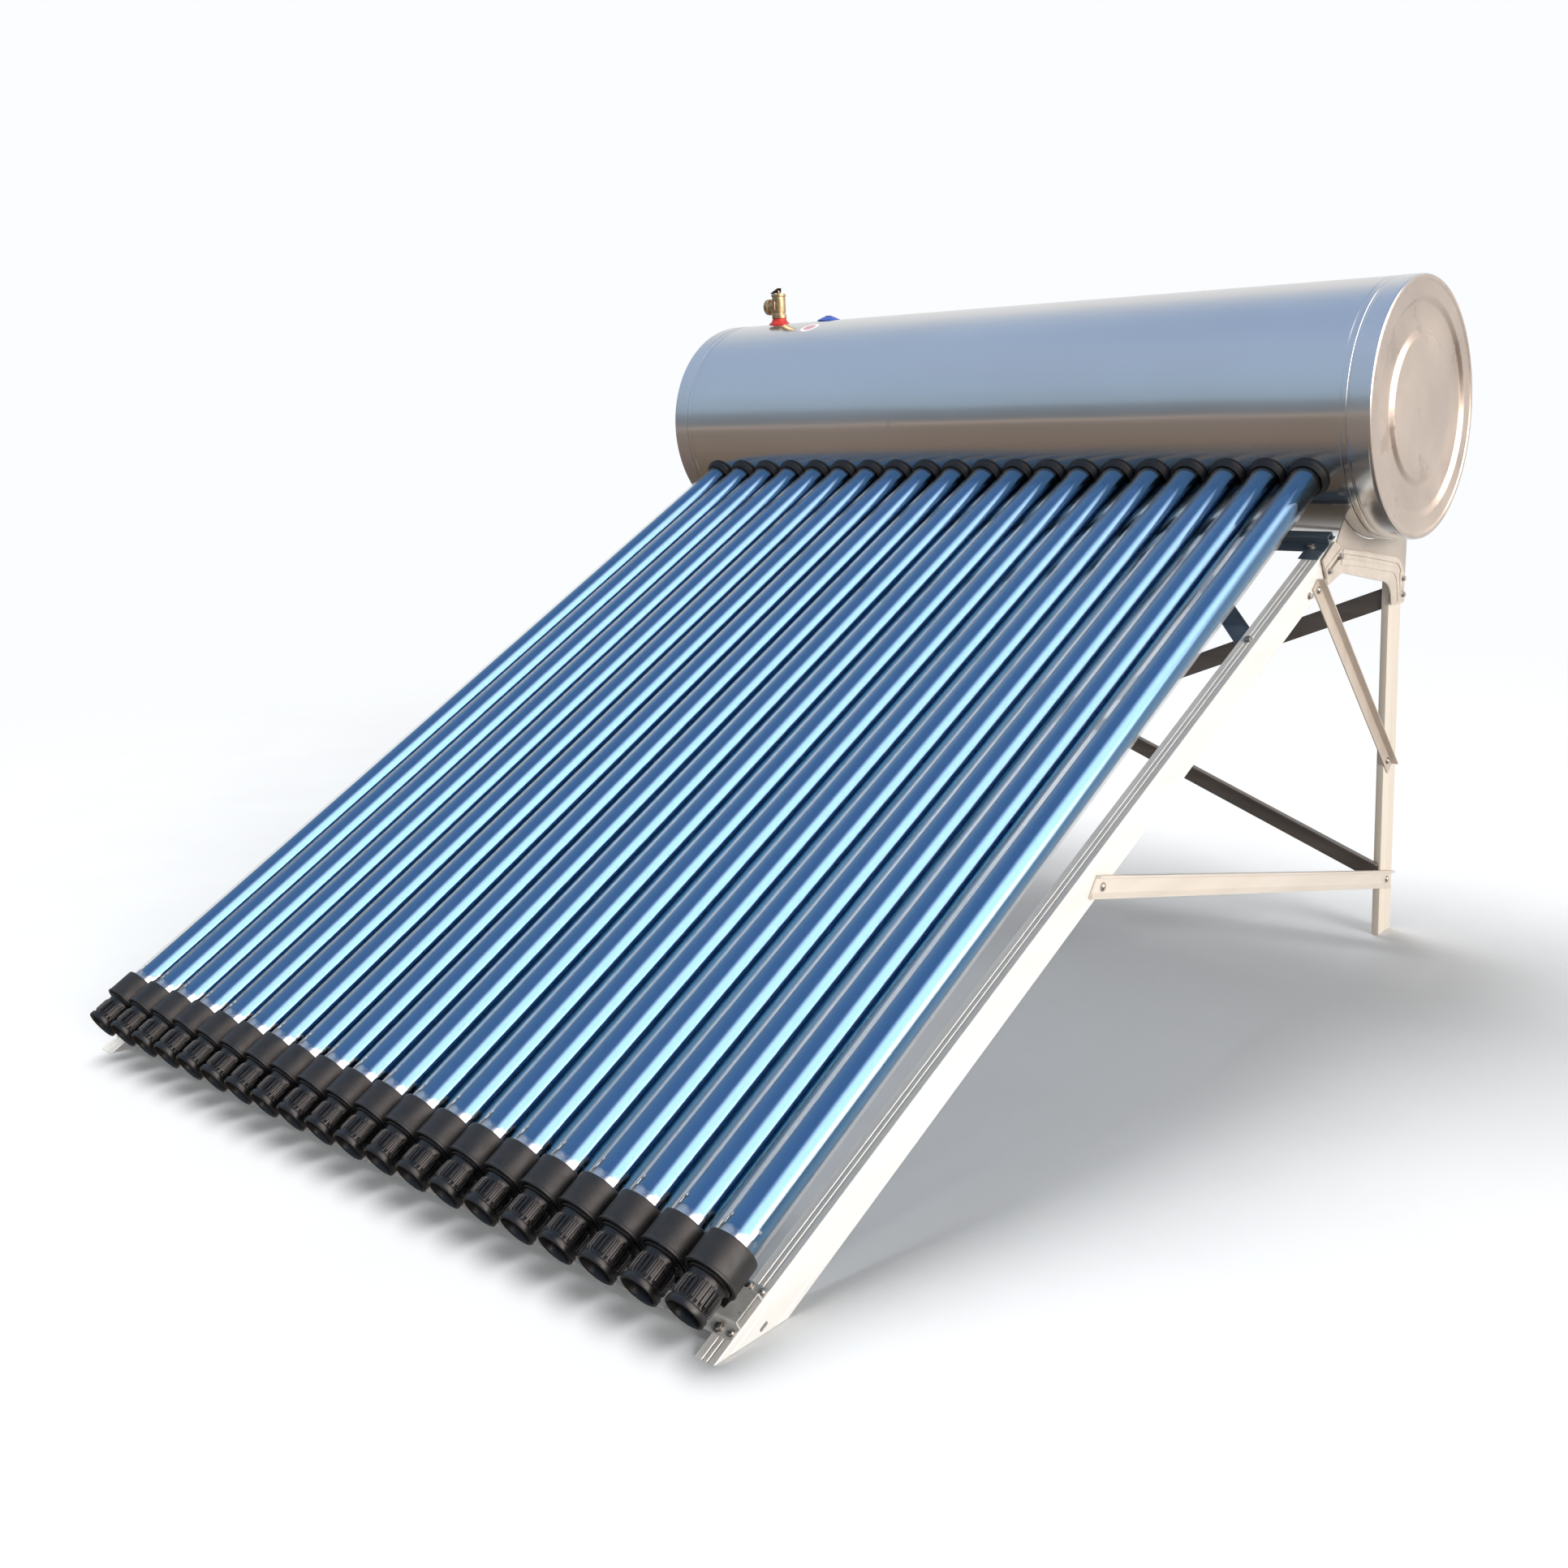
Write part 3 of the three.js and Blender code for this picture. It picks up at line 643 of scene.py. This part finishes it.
for i, x in enumerate(TUBE_XS, 1):
    tag = f"{i:02d}"
    here = radial(x, TUBE_ANGLE)
    piece(f"tube_glass_{tag}", walled(29, 1.6, 1915, 145, 48), GLASS,
          replaces=(f"vacuum_tube_{tag}",), at=here, sharp=60)
    piece(f"tube_absorber_{tag}", walled(25.4, 1.6, 1906, 145, 48), ABSORBER,
          at=here, sharp=60)
    piece(f"tube_silver_{tag}", walled(27.2, 0.3, 1913.2, 1846, 40), SILVER,
          at=here, sharp=60)
    piece(f"tube_clip_{tag}", placed(spring_clip(), x, TUBE_ANGLE), SPRING)
    piece(f"dust_seal_{tag}", placed(dust_seal(), x, TUBE_ANGLE), RUBBER)
    piece(f"holder_ring_{tag}", placed(holder_ring(), x, TUBE_ANGLE), RING)
    piece(f"cup_grip_{tag}", placed(ribbed_cup(), x, TUBE_ANGLE), CUP, body=f"cup_{tag}",
          replaces=(f"screw_cup_{tag}",), sharp=28)


# Rack and crossbar


def hat(name, bends, height, mat, replaces, extra=(), cutters=()):
    """Hat channel across both rails: a raised web between two flanges."""
    a0, a1, a2, a3 = bends
    sheet = 2
    outline = [
        (0, a0, 0.5), (sheet, a0, 0.5), (sheet, a1, 1.0), (height, a1, 2.4), (height, a2, 2.4),
        (sheet, a2, 1.0), (sheet, a3, 0.5), (0, a3, 0.5), (0, a2 - sheet, 2.4),
        (height - sheet, a2 - sheet, 1.0), (height - sheet, a1 + sheet, 1.0), (0, a1 + sheet, 2.4),
    ]
    bm = prism(rounded(outline, 1, 3), -747.6, 747.6)
    origin, _, up, along = rail_axes(0.4)
    put(bm, origin, up, along, (1, 0, 0))
    if cutters:
        bm = carved(bm, *cutters)
    piece(name, joined(bm, *extra), mat, replaces=replaces)


def on_rail(bm):
    """Places a shape drawn as (x, height, along)."""
    return put(bm, *rail_axes())


notches = []
for x in TUBE_XS:
    for along in (57, 79):
        notches.append(on_rail(block(x - 0.8, x + 8, 8, 20, along, along + 6.5)))
hat("rack_channel", (32, 48, 91, 105), 14, RACK, ("tail_rack",), cutters=notches)

tabs = []
for _, side in SIDES:
    tab = soften(block(711, 747, 0.5, 2.6, 1664, 1690), 0.6)
    tabs.append(mirrored(on_rail(tab), side))
hat("tank_crossbar", (1688, 1711, 1731, 1738), 16, BLUED, ("upper_crossbar",), extra=tabs)

rail_up = rail_axes()[2]
for label, side in SIDES:
    for spot, x, along, height, size, hexagon in (
        ("rack_bolt_front", 722, 40, 2.4, 7, True), ("rack_rivet_front", 742, 40, 2.4, 5, False),
        ("rack_bolt_back", 721, 98, 2.4, 7, True), ("rack_rivet_back", 742, 98, 2.4, 5, False),
        ("crossbar_bolt", 720, 1699, 2.4, 8, True), ("corner_strip_bolt", 731, 1421, 0.1, 7, True),
    ):
        at = rail_point(side * x, along, height)
        fixing(f"{spot}_{label}", at, rail_up, size, hexagon)


# Stand


def rail(side):
    """Extruded channel with grooves on its top and side, cut flat where it stands."""
    outer, inner = 748, 716
    outline = [
        (outer, -1.4), (outer - 0.5, -0.5), (outer - 1.4, 0),
        (738.4, 0), (737.8, -1), (735.6, -1), (735, 0),
        (730.4, 0), (729.8, -1), (727.6, -1), (727, 0),
        (inner + 0.8, 0), (inner, -0.8), (inner, -2.6), (inner + 0.4, -3),
        (outer - 3, -3), (outer - 3, -52), (722.4, -52), (722, -52.4), (722, -54.6), (722.4, -55),
        (outer - 1.4, -55), (outer - 0.5, -54.5), (outer, -53.6),
        (outer, -46.4), (outer - 0.8, -45.8), (outer - 0.8, -44.2), (outer, -43.6),
        (outer, -13.4), (outer - 1, -12.6), (outer - 1, -10.4), (outer, -9.6),
    ]
    bm = on_rail(prism(outline, 0, 1738, start_cut=-1 / math.tan(RAIL_SLOPE)))
    hole = rounded([(-7, -2.6, 2.6), (7, -2.6, 2.6), (7, 2.6, 2.6), (-7, 2.6, 2.6)], 2.6, 4)
    _, _, up, along = rail_axes()
    slot = put(prism(hole, 740, 752), (0, TANK_Y - 1634, 9), along, up, (1, 0, 0))
    return mirrored(carved(bm, slot), side)


def rear_leg(side):
    front, rear = TANK_Y + 73, TANK_Y + 128
    outline = [
        (748, front, 1.6), (748, rear - 30.6, 0.2), (747.3, rear - 30, 0.2), (747.3, rear - 25.6, 0.2),
        (748, rear - 25, 0.2), (748, rear, 1.6), (734, rear, 0.8), (734, rear - 3, 0.8),
        (745, rear - 3, 1), (745, front + 3, 1), (734, front + 3, 0.8), (734, front, 0.8),
    ]
    return mirrored(soften(prism(rounded(outline, 1, 3), 0, 719), 0.4, 1, 60), side)


def side_bar(outline, start, end, before, after, start_cut=0.0, end_cut=0.0):
    """Bar on the outside of the stand between two bolt places given as (distance, height)."""
    rise = Vector((end[0] - start[0], end[1] - start[1]))
    run = rise.normalized()
    bm = prism(outline, -before, rise.length + after, start_cut, end_cut)
    soften(bm, 0.5, 2, 50)
    origin = (748.4, TANK_Y + start[0], start[1])
    return put(bm, origin, (1, 0, 0), (0, -run.y, run.x), (0, run.x, run.y))


def brace(side):
    outline = rounded([(0, -17), (7.5, -17, 1.5), (8.2, -15.5, 1), (2.6, -8, 1.5), (2.6, 12.6, 1),
                       (8.2, 12.6, 1.2), (9, 14, 1), (9, 16, 1), (8, 17, 1), (0, 17)], 0.4, 3)
    bm = side_bar(outline, (-918, 350), (96, 107), 24, 20, 0.42, 0.24)
    return mirrored(bm, side)


def diagonal(side):
    outline = rounded([(0, -13, 0.6), (2.4, -13, 0.8), (2.4, 10.4, 1), (14.6, 10.4, 0.8), (14.6, 13, 0.8),
                       (0, 13, 2)], 0.6, 3)
    return mirrored(side_bar(outline, (-233, 701), (82, 343), 15, 22), side)


def flat_plate(outline, x0, x1):
    """Plate drawn as (distance behind the tank axis, height), between two x positions."""
    return put(prism(outline, x0, x1), (0, TANK_Y, 0), (0, 1, 0), (0, 0, 1), (1, 0, 0))


def band(path, half, radius=14):
    """Outline of a strip of that half width along a path with rounded turns."""
    line = rounded(path, radius, 5, loop=False)
    near, far = [], []
    for i, point in enumerate(line):
        ahead = Vector(line[min(i + 1, len(line) - 1)]) - Vector(line[max(i - 1, 0)])
        across = Vector((-ahead.y, ahead.x)).normalized() * half
        near.append(tuple(Vector(point) + across))
        far.append(tuple(Vector(point) - across))
    return near + far[::-1]


def slot_outline(start, end, half):
    """Round-ended slot between two points."""
    first, last = Vector(start), Vector(end)
    run = (last - first).normalized() * half
    turn = math.atan2(run.y, run.x)
    out = []
    for centre, offset in ((last, -0.5), (first, 0.5)):
        for k in range(9):
            angle = turn + math.pi * (offset + k / 8)
            out.append((centre.x + half * math.cos(angle), centre.y + half * math.sin(angle)))
    return out


def corner_casting(side):
    """Cast bracket from the rail to the leg, with a lip, a step and two slotted pads."""
    outline = rounded([
        (-225, 752, 3), (-178, 780, 4), (-147, 764, 10), (-69, 754, 20), (97, 726, 16), (117, 706, 16),
        (127, 639, 3), (70, 641, 3), (66, 668, 22), (44, 686, 22), (-10, 696, 20), (-146, 722, 16),
        (-170, 716, 10), (-202, 706, 3),
    ], 8, 5)
    edge = [(-150, 760), (-69, 748), (93, 720), (111, 702), (120, 645)]
    lip = soften(flat_plate(band(edge, 4.2, 18), 754.2, 757.2), 1.0, 2, 40)
    step_line = [(-152, 742), (-66, 730), (78, 705), (93, 690), (101, 645)]
    step = soften(flat_plate(band(step_line, 5.4, 20), 754.2, 756.2), 0.9, 2, 40)
    pads, slots = [], []
    for start, end in (((-214, 727), (-152, 758)), ((112, 698), (114, 646))):
        inside = (Vector(end) - Vector(start)).normalized() * 7
        slot = slot_outline(Vector(start) + inside, Vector(end) - inside, 3.4)
        pad = soften(flat_plate(band([start, end], 9.5), 754.2, 756.8), 0.8, 2, 40)
        pads.append(carved(pad, flat_plate(slot, 750, 760)))
        slots.append(flat_plate(slot, 750, 760))
    base = carved(soften(flat_plate(outline, 751.1, 754.4), 0.5, 2, 40), *slots)
    return mirrored(joined(base, lip, step, *pads), side)


def saddle(side):
    """Plate under the tank's end, its top edge curved to the tank."""
    arc = []
    for k in range(25):
        angle = math.radians(36.5 - k * 1.53)
        arc.append((-(CAP_R + 0.8) * math.sin(angle), TANK_Z - (CAP_R + 0.8) * math.cos(angle)))
    rest = [(25, 767), (140, 755), (136, 640), (85, 640), (85, 705), (-120, 735), (-164, 778)]
    plate = soften(flat_plate(arc + rest, 748.5, 751), 0.4, 2, 40)
    return mirrored(plate, side)


def corner_strip(side):
    """Flat strip in the corner between the rail and the upper crossbar."""
    start, end = Vector((728, 1421)), Vector((462, 1706))
    run = (end - start).normalized()
    length = (end - start).length
    outline = rounded([(-17.5, 0), (17.5, 0), (17.5, length), (-17.5, length)], 3)
    bm = soften(prism([(u, v - 4) for u, v in outline], -6.4, -3.4), 0.4, 2, 50)
    put(bm, (start.x, 0, start.y), (-run.y, 0, run.x), (run.x, 0, run.y), (0, 1, 0))
    return mirrored(on_rail(bm), side)


for label, side in SIDES:
    piece(f"stand_rail_{label}", rail(side), FRAME_RAIL,
          replaces=(f"front_rail_{label}",), sharp=25)
    piece(f"stand_leg_{label}", rear_leg(side), FRAME_LEG,
          replaces=(f"rear_leg_{label}",), sharp=25)
    piece(f"stand_brace_{label}", brace(side), FRAME_BAR,
          replaces=(f"side_brace_{label}",), sharp=25)
    piece(f"stand_diagonal_{label}", diagonal(side), FRAME_DIAGONAL,
          replaces=(f"side_diagonal_{label}",), sharp=25)
    casting = piece(f"bracket_casting_{label}", corner_casting(side), BRACKET,
                    replaces=(f"corner_bracket_{label}",), sharp=25)
    piece(f"tank_saddle_{label}", saddle(side), SADDLE, sharp=25)
    piece(f"corner_strip_{label}", corner_strip(side), BLUED)
    for spot, dy, z, out, size, hexagon in (
        ("bracket_bolt_rail_upper", -162, 752, 756.8, 6.5, True),
        ("bracket_bolt_rail_lower", -205, 731, 756.8, 6.5, True),
        ("bracket_bolt_leg_upper", 112.5, 686, 756.8, 6, True),
        ("bracket_bolt_leg_lower", 113.5, 656, 756.8, 6, True),
        ("brace_bolt_front", -918, 350, 751, 7, False), ("brace_bolt_rear", 96, 107, 751, 7, False),
        ("diagonal_bolt_upper", -233, 701, 750.8, 7, False),
        ("diagonal_bolt_lower", 82, 343, 750.8, 7, False),
        ("rail_bolt_upper", -262, 694, 748.1, 6.5, True),
    ):
        fixing(f"{spot}_{label}", (side * out, TANK_Y + dy, z), (side, 0, 0), size, hexagon=hexagon)


def cross_bar(name, node, side, high, low, y, lip):
    """Angle between the legs at the back, with a thin upper lip, its ends cut square to X."""
    reach = 744.2
    rise = (high - low) / (2 * reach)
    sign = 1 if lip > 0 else -1
    outline = rounded([(-18, 0, 0.5), (18, 0, 1.4), (18, lip, 0.5), (15.4, lip, 0.5),
                       (15.4, sign * 2.6, 1.0), (-18, sign * 2.6, 0.5)], 0.6, 3)
    tilt = math.cos(math.atan(rise))
    middle = (high + low) / 2
    bm = bmesh.new()
    ends = []
    for x in (-reach, reach):
        z = middle + side * x * rise
        ends.append([bm.verts.new((x, y + v, z + u / tilt)) for u, v in outline])
    for i in range(len(outline)):
        j = (i + 1) % len(outline)
        bm.faces.new((ends[0][i], ends[0][j], ends[1][j], ends[1][i]))
    bm.faces.new(ends[0][::-1])
    bm.faces.new(ends[1])
    piece(name, bm, DARK, replaces=(node,))
    for label, x in (("right", 739), ("left", -739)):
        z = middle + side * x * rise
        fixing(f"{name}_bolt_{label}", (x, y + sign * 2.6, z), (0, sign, 0), 5)


cross_bar("back_bar_a", "rear_cross_bar_a", 1, 655, 62, TANK_Y + 76.4, 14)
cross_bar("back_bar_b", "rear_cross_bar_b", -1, 668, 124, TANK_Y + 72.6, -14)


# Relief valve and tank fittings


def valve_body():
    """Brass barrel with a collar and a cap, a side outlet with a nut, and the lever's post."""
    barrel = [
        (0, 1166), (12, 1166), (12, 1236), (15.6, 1238), (17, 1239.4), (17, 1246.6), (15.8, 1248),
        (14.4, 1249.4), (14.4, 1251.4), (15.5, 1253), (15.5, 1284.6), (14.8, 1286), (15.8, 1288),
        (17, 1289.2), (17, 1292.6), (15.8, 1294), (9, 1294), (8.4, 1293.4), (0, 1293.4),
    ]
    body = put(lathe(rounded(barrel, 0.8, 3, loop=False), 48, loop=False), (VALVE_X, TANK_Y, 0))
    pipe = [(0, 0), (12.9, 0), (12.9, 22.4), (13.5, 23), (17, 23), (18, 24), (18, 32.8), (17, 34),
            (14, 34), (13, 33), (9.8, 32), (9.6, 16), (0, 15.6)]
    outlet = put(lathe(rounded(pipe, 0.5, 2, loop=False), 40, loop=False), (VALVE_X, TANK_Y, 1266),
                 (0, 1, 0), (0, 0, 1), (-1, 0, 0))
    post = soften(block(VALVE_X - 2.7, VALVE_X + 2.7, TANK_Y - 2.9, TANK_Y + 2.9, 1292.5, 1301.8), 0.8)
    rib = soften(block(VALVE_X - 2.2, VALVE_X + 2.2, TANK_Y - 17, TANK_Y - 13, 1257, 1277), 1.2)
    return joined(body, outlet, post, rib)


def valve_lever():
    """Tilted folded toggle: a thumb plate with a turned-up edge, two tapered cheeks and the pin."""
    tilt = math.radians(24)
    axes = ((math.cos(tilt), 0, math.sin(tilt)), (-math.sin(tilt), 0, math.cos(tilt)), (0, 1, 0))
    origin = (VALVE_X, TANK_Y, 1299)
    thumb = [(-19, 4.5, 0.5), (6.9, 4.5, 0.5), (6.9, 6.5, 0.7), (-17, 6.5, 1), (-19, 6.6, 0.5)]
    handle = soften(put(prism(rounded(thumb, 0.5, 3), -5.9, 5.9), origin, *axes), 0.4)
    outline = rounded([(-2.2, -2.3, 1.6), (2.2, -2.3, 1.6), (6.4, 5, 0.5), (-12.8, 5, 0.5)], 1, 4)
    cheeks = [soften(put(prism(outline, low, low + 2.1), origin, *axes), 0.3) for low in (3.85, -5.95)]
    pin = lathe([(0, -5.98), (1.5, -5.98), (1.5, 5.98), (0, 5.98)], 20, loop=False)
    put(pin, origin, *axes)
    return joined(handle, pin, *cheeks)


piece("valve_brass_body", valve_body(), BRASS, replaces=("relief_valve_body",), sharp=30)
piece("valve_toggle", valve_lever(), LEVER, body="valve_lever",
      replaces=("relief_valve_lever",))
seal = [(12.6, 0.3), (24.2, 0.3), (25.2, 1.3), (23.4, 3.2), (19.2, 6), (17.4, 8.6), (16.6, 11.6),
        (15, 12.6), (12.6, 12.4)]
piece("valve_seal", lathe(rounded(seal, 1.2), 56, warp=on_tank), RED,
      at=radial(VALVE_X, 0))
plug = [(0, 0.3), (25, 0.3), (26.2, 1.2), (25.4, 2.8), (21, 4.2), (15.5, 7), (11, 8.6), (0, 8.8)]
piece("sensor_plug", lathe(rounded(plug, 1.2, loop=False), 56, loop=False, warp=on_tank), BLUE,
      at=radial(-547, 0))
nub = [(0, 7.6), (8.4, 7.6), (8.4, 9.6), (6.8, 10.8), (0, 11)]
piece("sensor_plug_top", lathe(rounded(nub, 0.8, loop=False), 40, loop=False, warp=on_tank), BLUE_DARK,
      at=radial(-547, 0))
film = [(0, 0.05), (22, 0.05), (22, 0.3), (16, 0.35), (11, 0.35), (5, 0.35), (0, 0.35)]
piece("round_sticker", lathe(film, 48, loop=False, warp=on_tank), STICKER,
      at=radial(-528, 22.3))


# Floor, light and camera


def floor():
    """Pale floor whose far part fades into the background."""
    bm = bmesh.new()
    bmesh.ops.create_circle(bm, cap_ends=True, segments=96, radius=14)
    mesh = bpy.data.meshes.new("floor")
    bm.to_mesh(mesh)
    bm.free()
    obj = bpy.data.objects.new("floor", mesh)
    obj.location = (0, 0, -0.0006)
    bpy.context.scene.collection.objects.link(obj)
    mat = surface("floor_paper", "eceef0", "eff1f3", 0.0, (0.9, 1.0), 3, grain=(300, 0.05, 0.0003),
                  Specular_IOR_Level=0.0)
    tree = mat.node_tree
    where = add(tree, "TexCoord").outputs["Object"]
    away = add(tree, "VectorMath", {0: where}, operation="LENGTH").outputs["Value"]
    mix = add(tree, "MixShader", {"Fac": level(tree, away, 2.3, 4.6, 0.0, 1.0)})
    tree.links.new(tree.nodes["Principled BSDF"].outputs[0], mix.inputs[1])
    tree.links.new(add(tree, "BsdfTransparent").outputs[0], mix.inputs[2])
    tree.links.new(mix.outputs[0], tree.nodes["Material Output"].inputs["Surface"])
    mesh.materials.append(mat)
    obj.visible_glossy = False


def lit(tree, below, sides, color):
    """The colour below with a brighter patch where every one of the sides is 1."""
    gain = sides[0]
    for side in sides[1:]:
        gain = add(tree, "Math", {0: gain, 1: side}, operation="MULTIPLY").outputs[0]
    mixed = add(tree, "Mix", {"Factor": gain}, data_type="RGBA")
    tree.links.new(below, mixed.inputs["A"])
    mixed.inputs["B"].default_value = color
    return mixed.outputs["Result"]


def world():
    """White backdrop for the camera, even light for matt surfaces, sky and warm ground for gloss."""
    scene_world = bpy.data.worlds.new("studio")
    bpy.context.scene.world = scene_world
    scene_world.use_nodes = True
    scene_world.cycles.sampling_method = "NONE"
    tree = scene_world.node_tree
    tree.nodes.clear()
    way = add(tree, "SeparateXYZ", {"Vector": add(tree, "TexCoord").outputs["Generated"]})
    x, y, z = (way.outputs[k] for k in "XYZ")
    stops = [
        (0.0, (0.05, 0.042, 0.036)), (0.2, (0.15, 0.115, 0.09)), (0.34, (0.25, 0.195, 0.16)),
        (0.47, (0.27, 0.225, 0.195)), (0.486, (0.60, 0.49, 0.43)), (0.497, (0.23, 0.225, 0.225)),
        (0.52, (0.21, 0.235, 0.265)), (0.57, (0.25, 0.29, 0.34)), (0.61, (0.37, 0.47, 0.58)),
        (0.72, (0.42, 0.54, 0.71)), (0.9, (0.44, 0.56, 0.77)), (1.0, (0.36, 0.48, 0.72)),
    ]
    sky = ramp(tree, level(tree, z, -1.0, 1.0, 0.0, 1.0, "LINEAR"), stops)
    back = level(tree, y, -0.05, 0.75, 0.0, 1.0)
    low = level(tree, add(tree, "Math", {0: z}, operation="ABSOLUTE").outputs[0], 0.5, 0.95, 1.0, 0.0)
    haze = lit(tree, sky, [back, low], (0.84, 0.84, 0.85, 1))
    sides = [level(tree, x, 0.16, 0.6, 0.0, 1.0), level(tree, z, 0.02, 0.16, 0.0, 1.0),
             level(tree, y, 0.4, 0.62, 1.0, 0.0), level(tree, y, -0.5, -0.25, 0.0, 1.0)]
    glow = lit(tree, haze, sides, (4.4, 3.8, 3.5, 1))
    sides = [level(tree, x, 0.56, 0.72, 0.0, 1.0), level(tree, z, 0.34, 0.5, 1.0, 0.0),
             level(tree, z, 0.06, 0.16, 0.0, 1.0), level(tree, y, 0.4, 0.6, 1.0, 0.0),
             level(tree, y, -0.4, -0.1, 0.0, 1.0)]
    glow = lit(tree, glow, sides, (8.4, 8.0, 7.6, 1))
    gloss = add(tree, "Background", {"Color": glow, "Strength": 1.0})
    even = add(tree, "Background", {"Color": (0.23, 0.233, 0.237, 1), "Strength": 1.0})
    plain = add(tree, "Background", {"Color": (0.965, 0.982, 1.0, 1), "Strength": 1.0})
    path = add(tree, "LightPath")
    inner = add(tree, "MixShader", {"Fac": path.outputs["Is Glossy Ray"]})
    tree.links.new(even.outputs[0], inner.inputs[1])
    tree.links.new(gloss.outputs[0], inner.inputs[2])
    outer = add(tree, "MixShader", {"Fac": path.outputs["Is Camera Ray"]})
    tree.links.new(inner.outputs[0], outer.inputs[1])
    tree.links.new(plain.outputs[0], outer.inputs[2])
    out = add(tree, "OutputWorld")
    tree.links.new(outer.outputs[0], out.inputs["Surface"])


def soft_light(name, toward, strength, spread, color=(1, 1, 1)):
    """Broad even light that travels along toward, for matt surfaces and shadows."""
    light = bpy.data.lights.new(name, "SUN")
    light.energy = strength
    light.angle = math.radians(spread)
    light.color = color
    obj = bpy.data.objects.new(name, light)
    obj.rotation_euler = Vector(toward).to_track_quat("-Z", "Y").to_euler()
    obj.visible_glossy = False
    bpy.context.scene.collection.objects.link(obj)


def camera():
    turn, rise, roll = (math.radians(v) for v in (41.26, 11.17, -1.96))
    back = Vector((math.sin(turn) * math.cos(rise), -math.cos(turn) * math.cos(rise), math.sin(rise)))
    level_right = Vector((math.cos(turn), math.sin(turn), 0))
    level_up = back.cross(level_right)
    right = level_right * math.cos(roll) + level_up * math.sin(roll)
    up = level_up * math.cos(roll) - level_right * math.sin(roll)
    data = bpy.data.cameras.new("camera")
    data.sensor_width = 36
    data.lens = 36.79
    data.shift_x = -0.0424
    data.shift_y = -0.0407
    data.clip_start = 0.05
    obj = bpy.data.objects.new("camera", data)
    matrix = Matrix((right, up, back)).transposed().to_4x4()
    matrix.translation = (1.9362, -2.0484, 1.0393)
    obj.matrix_world = matrix
    bpy.context.scene.collection.objects.link(obj)
    bpy.context.scene.camera = obj


floor()
world()
soft_light("overhead_light", (0.5, -0.08, -1), 2.75, 44)
soft_light("side_light", (-1, 0.25, -0.22), 2.8, 30, (1.0, 0.985, 0.965))
camera()
bpy.context.scene.view_settings.view_transform = "Standard"
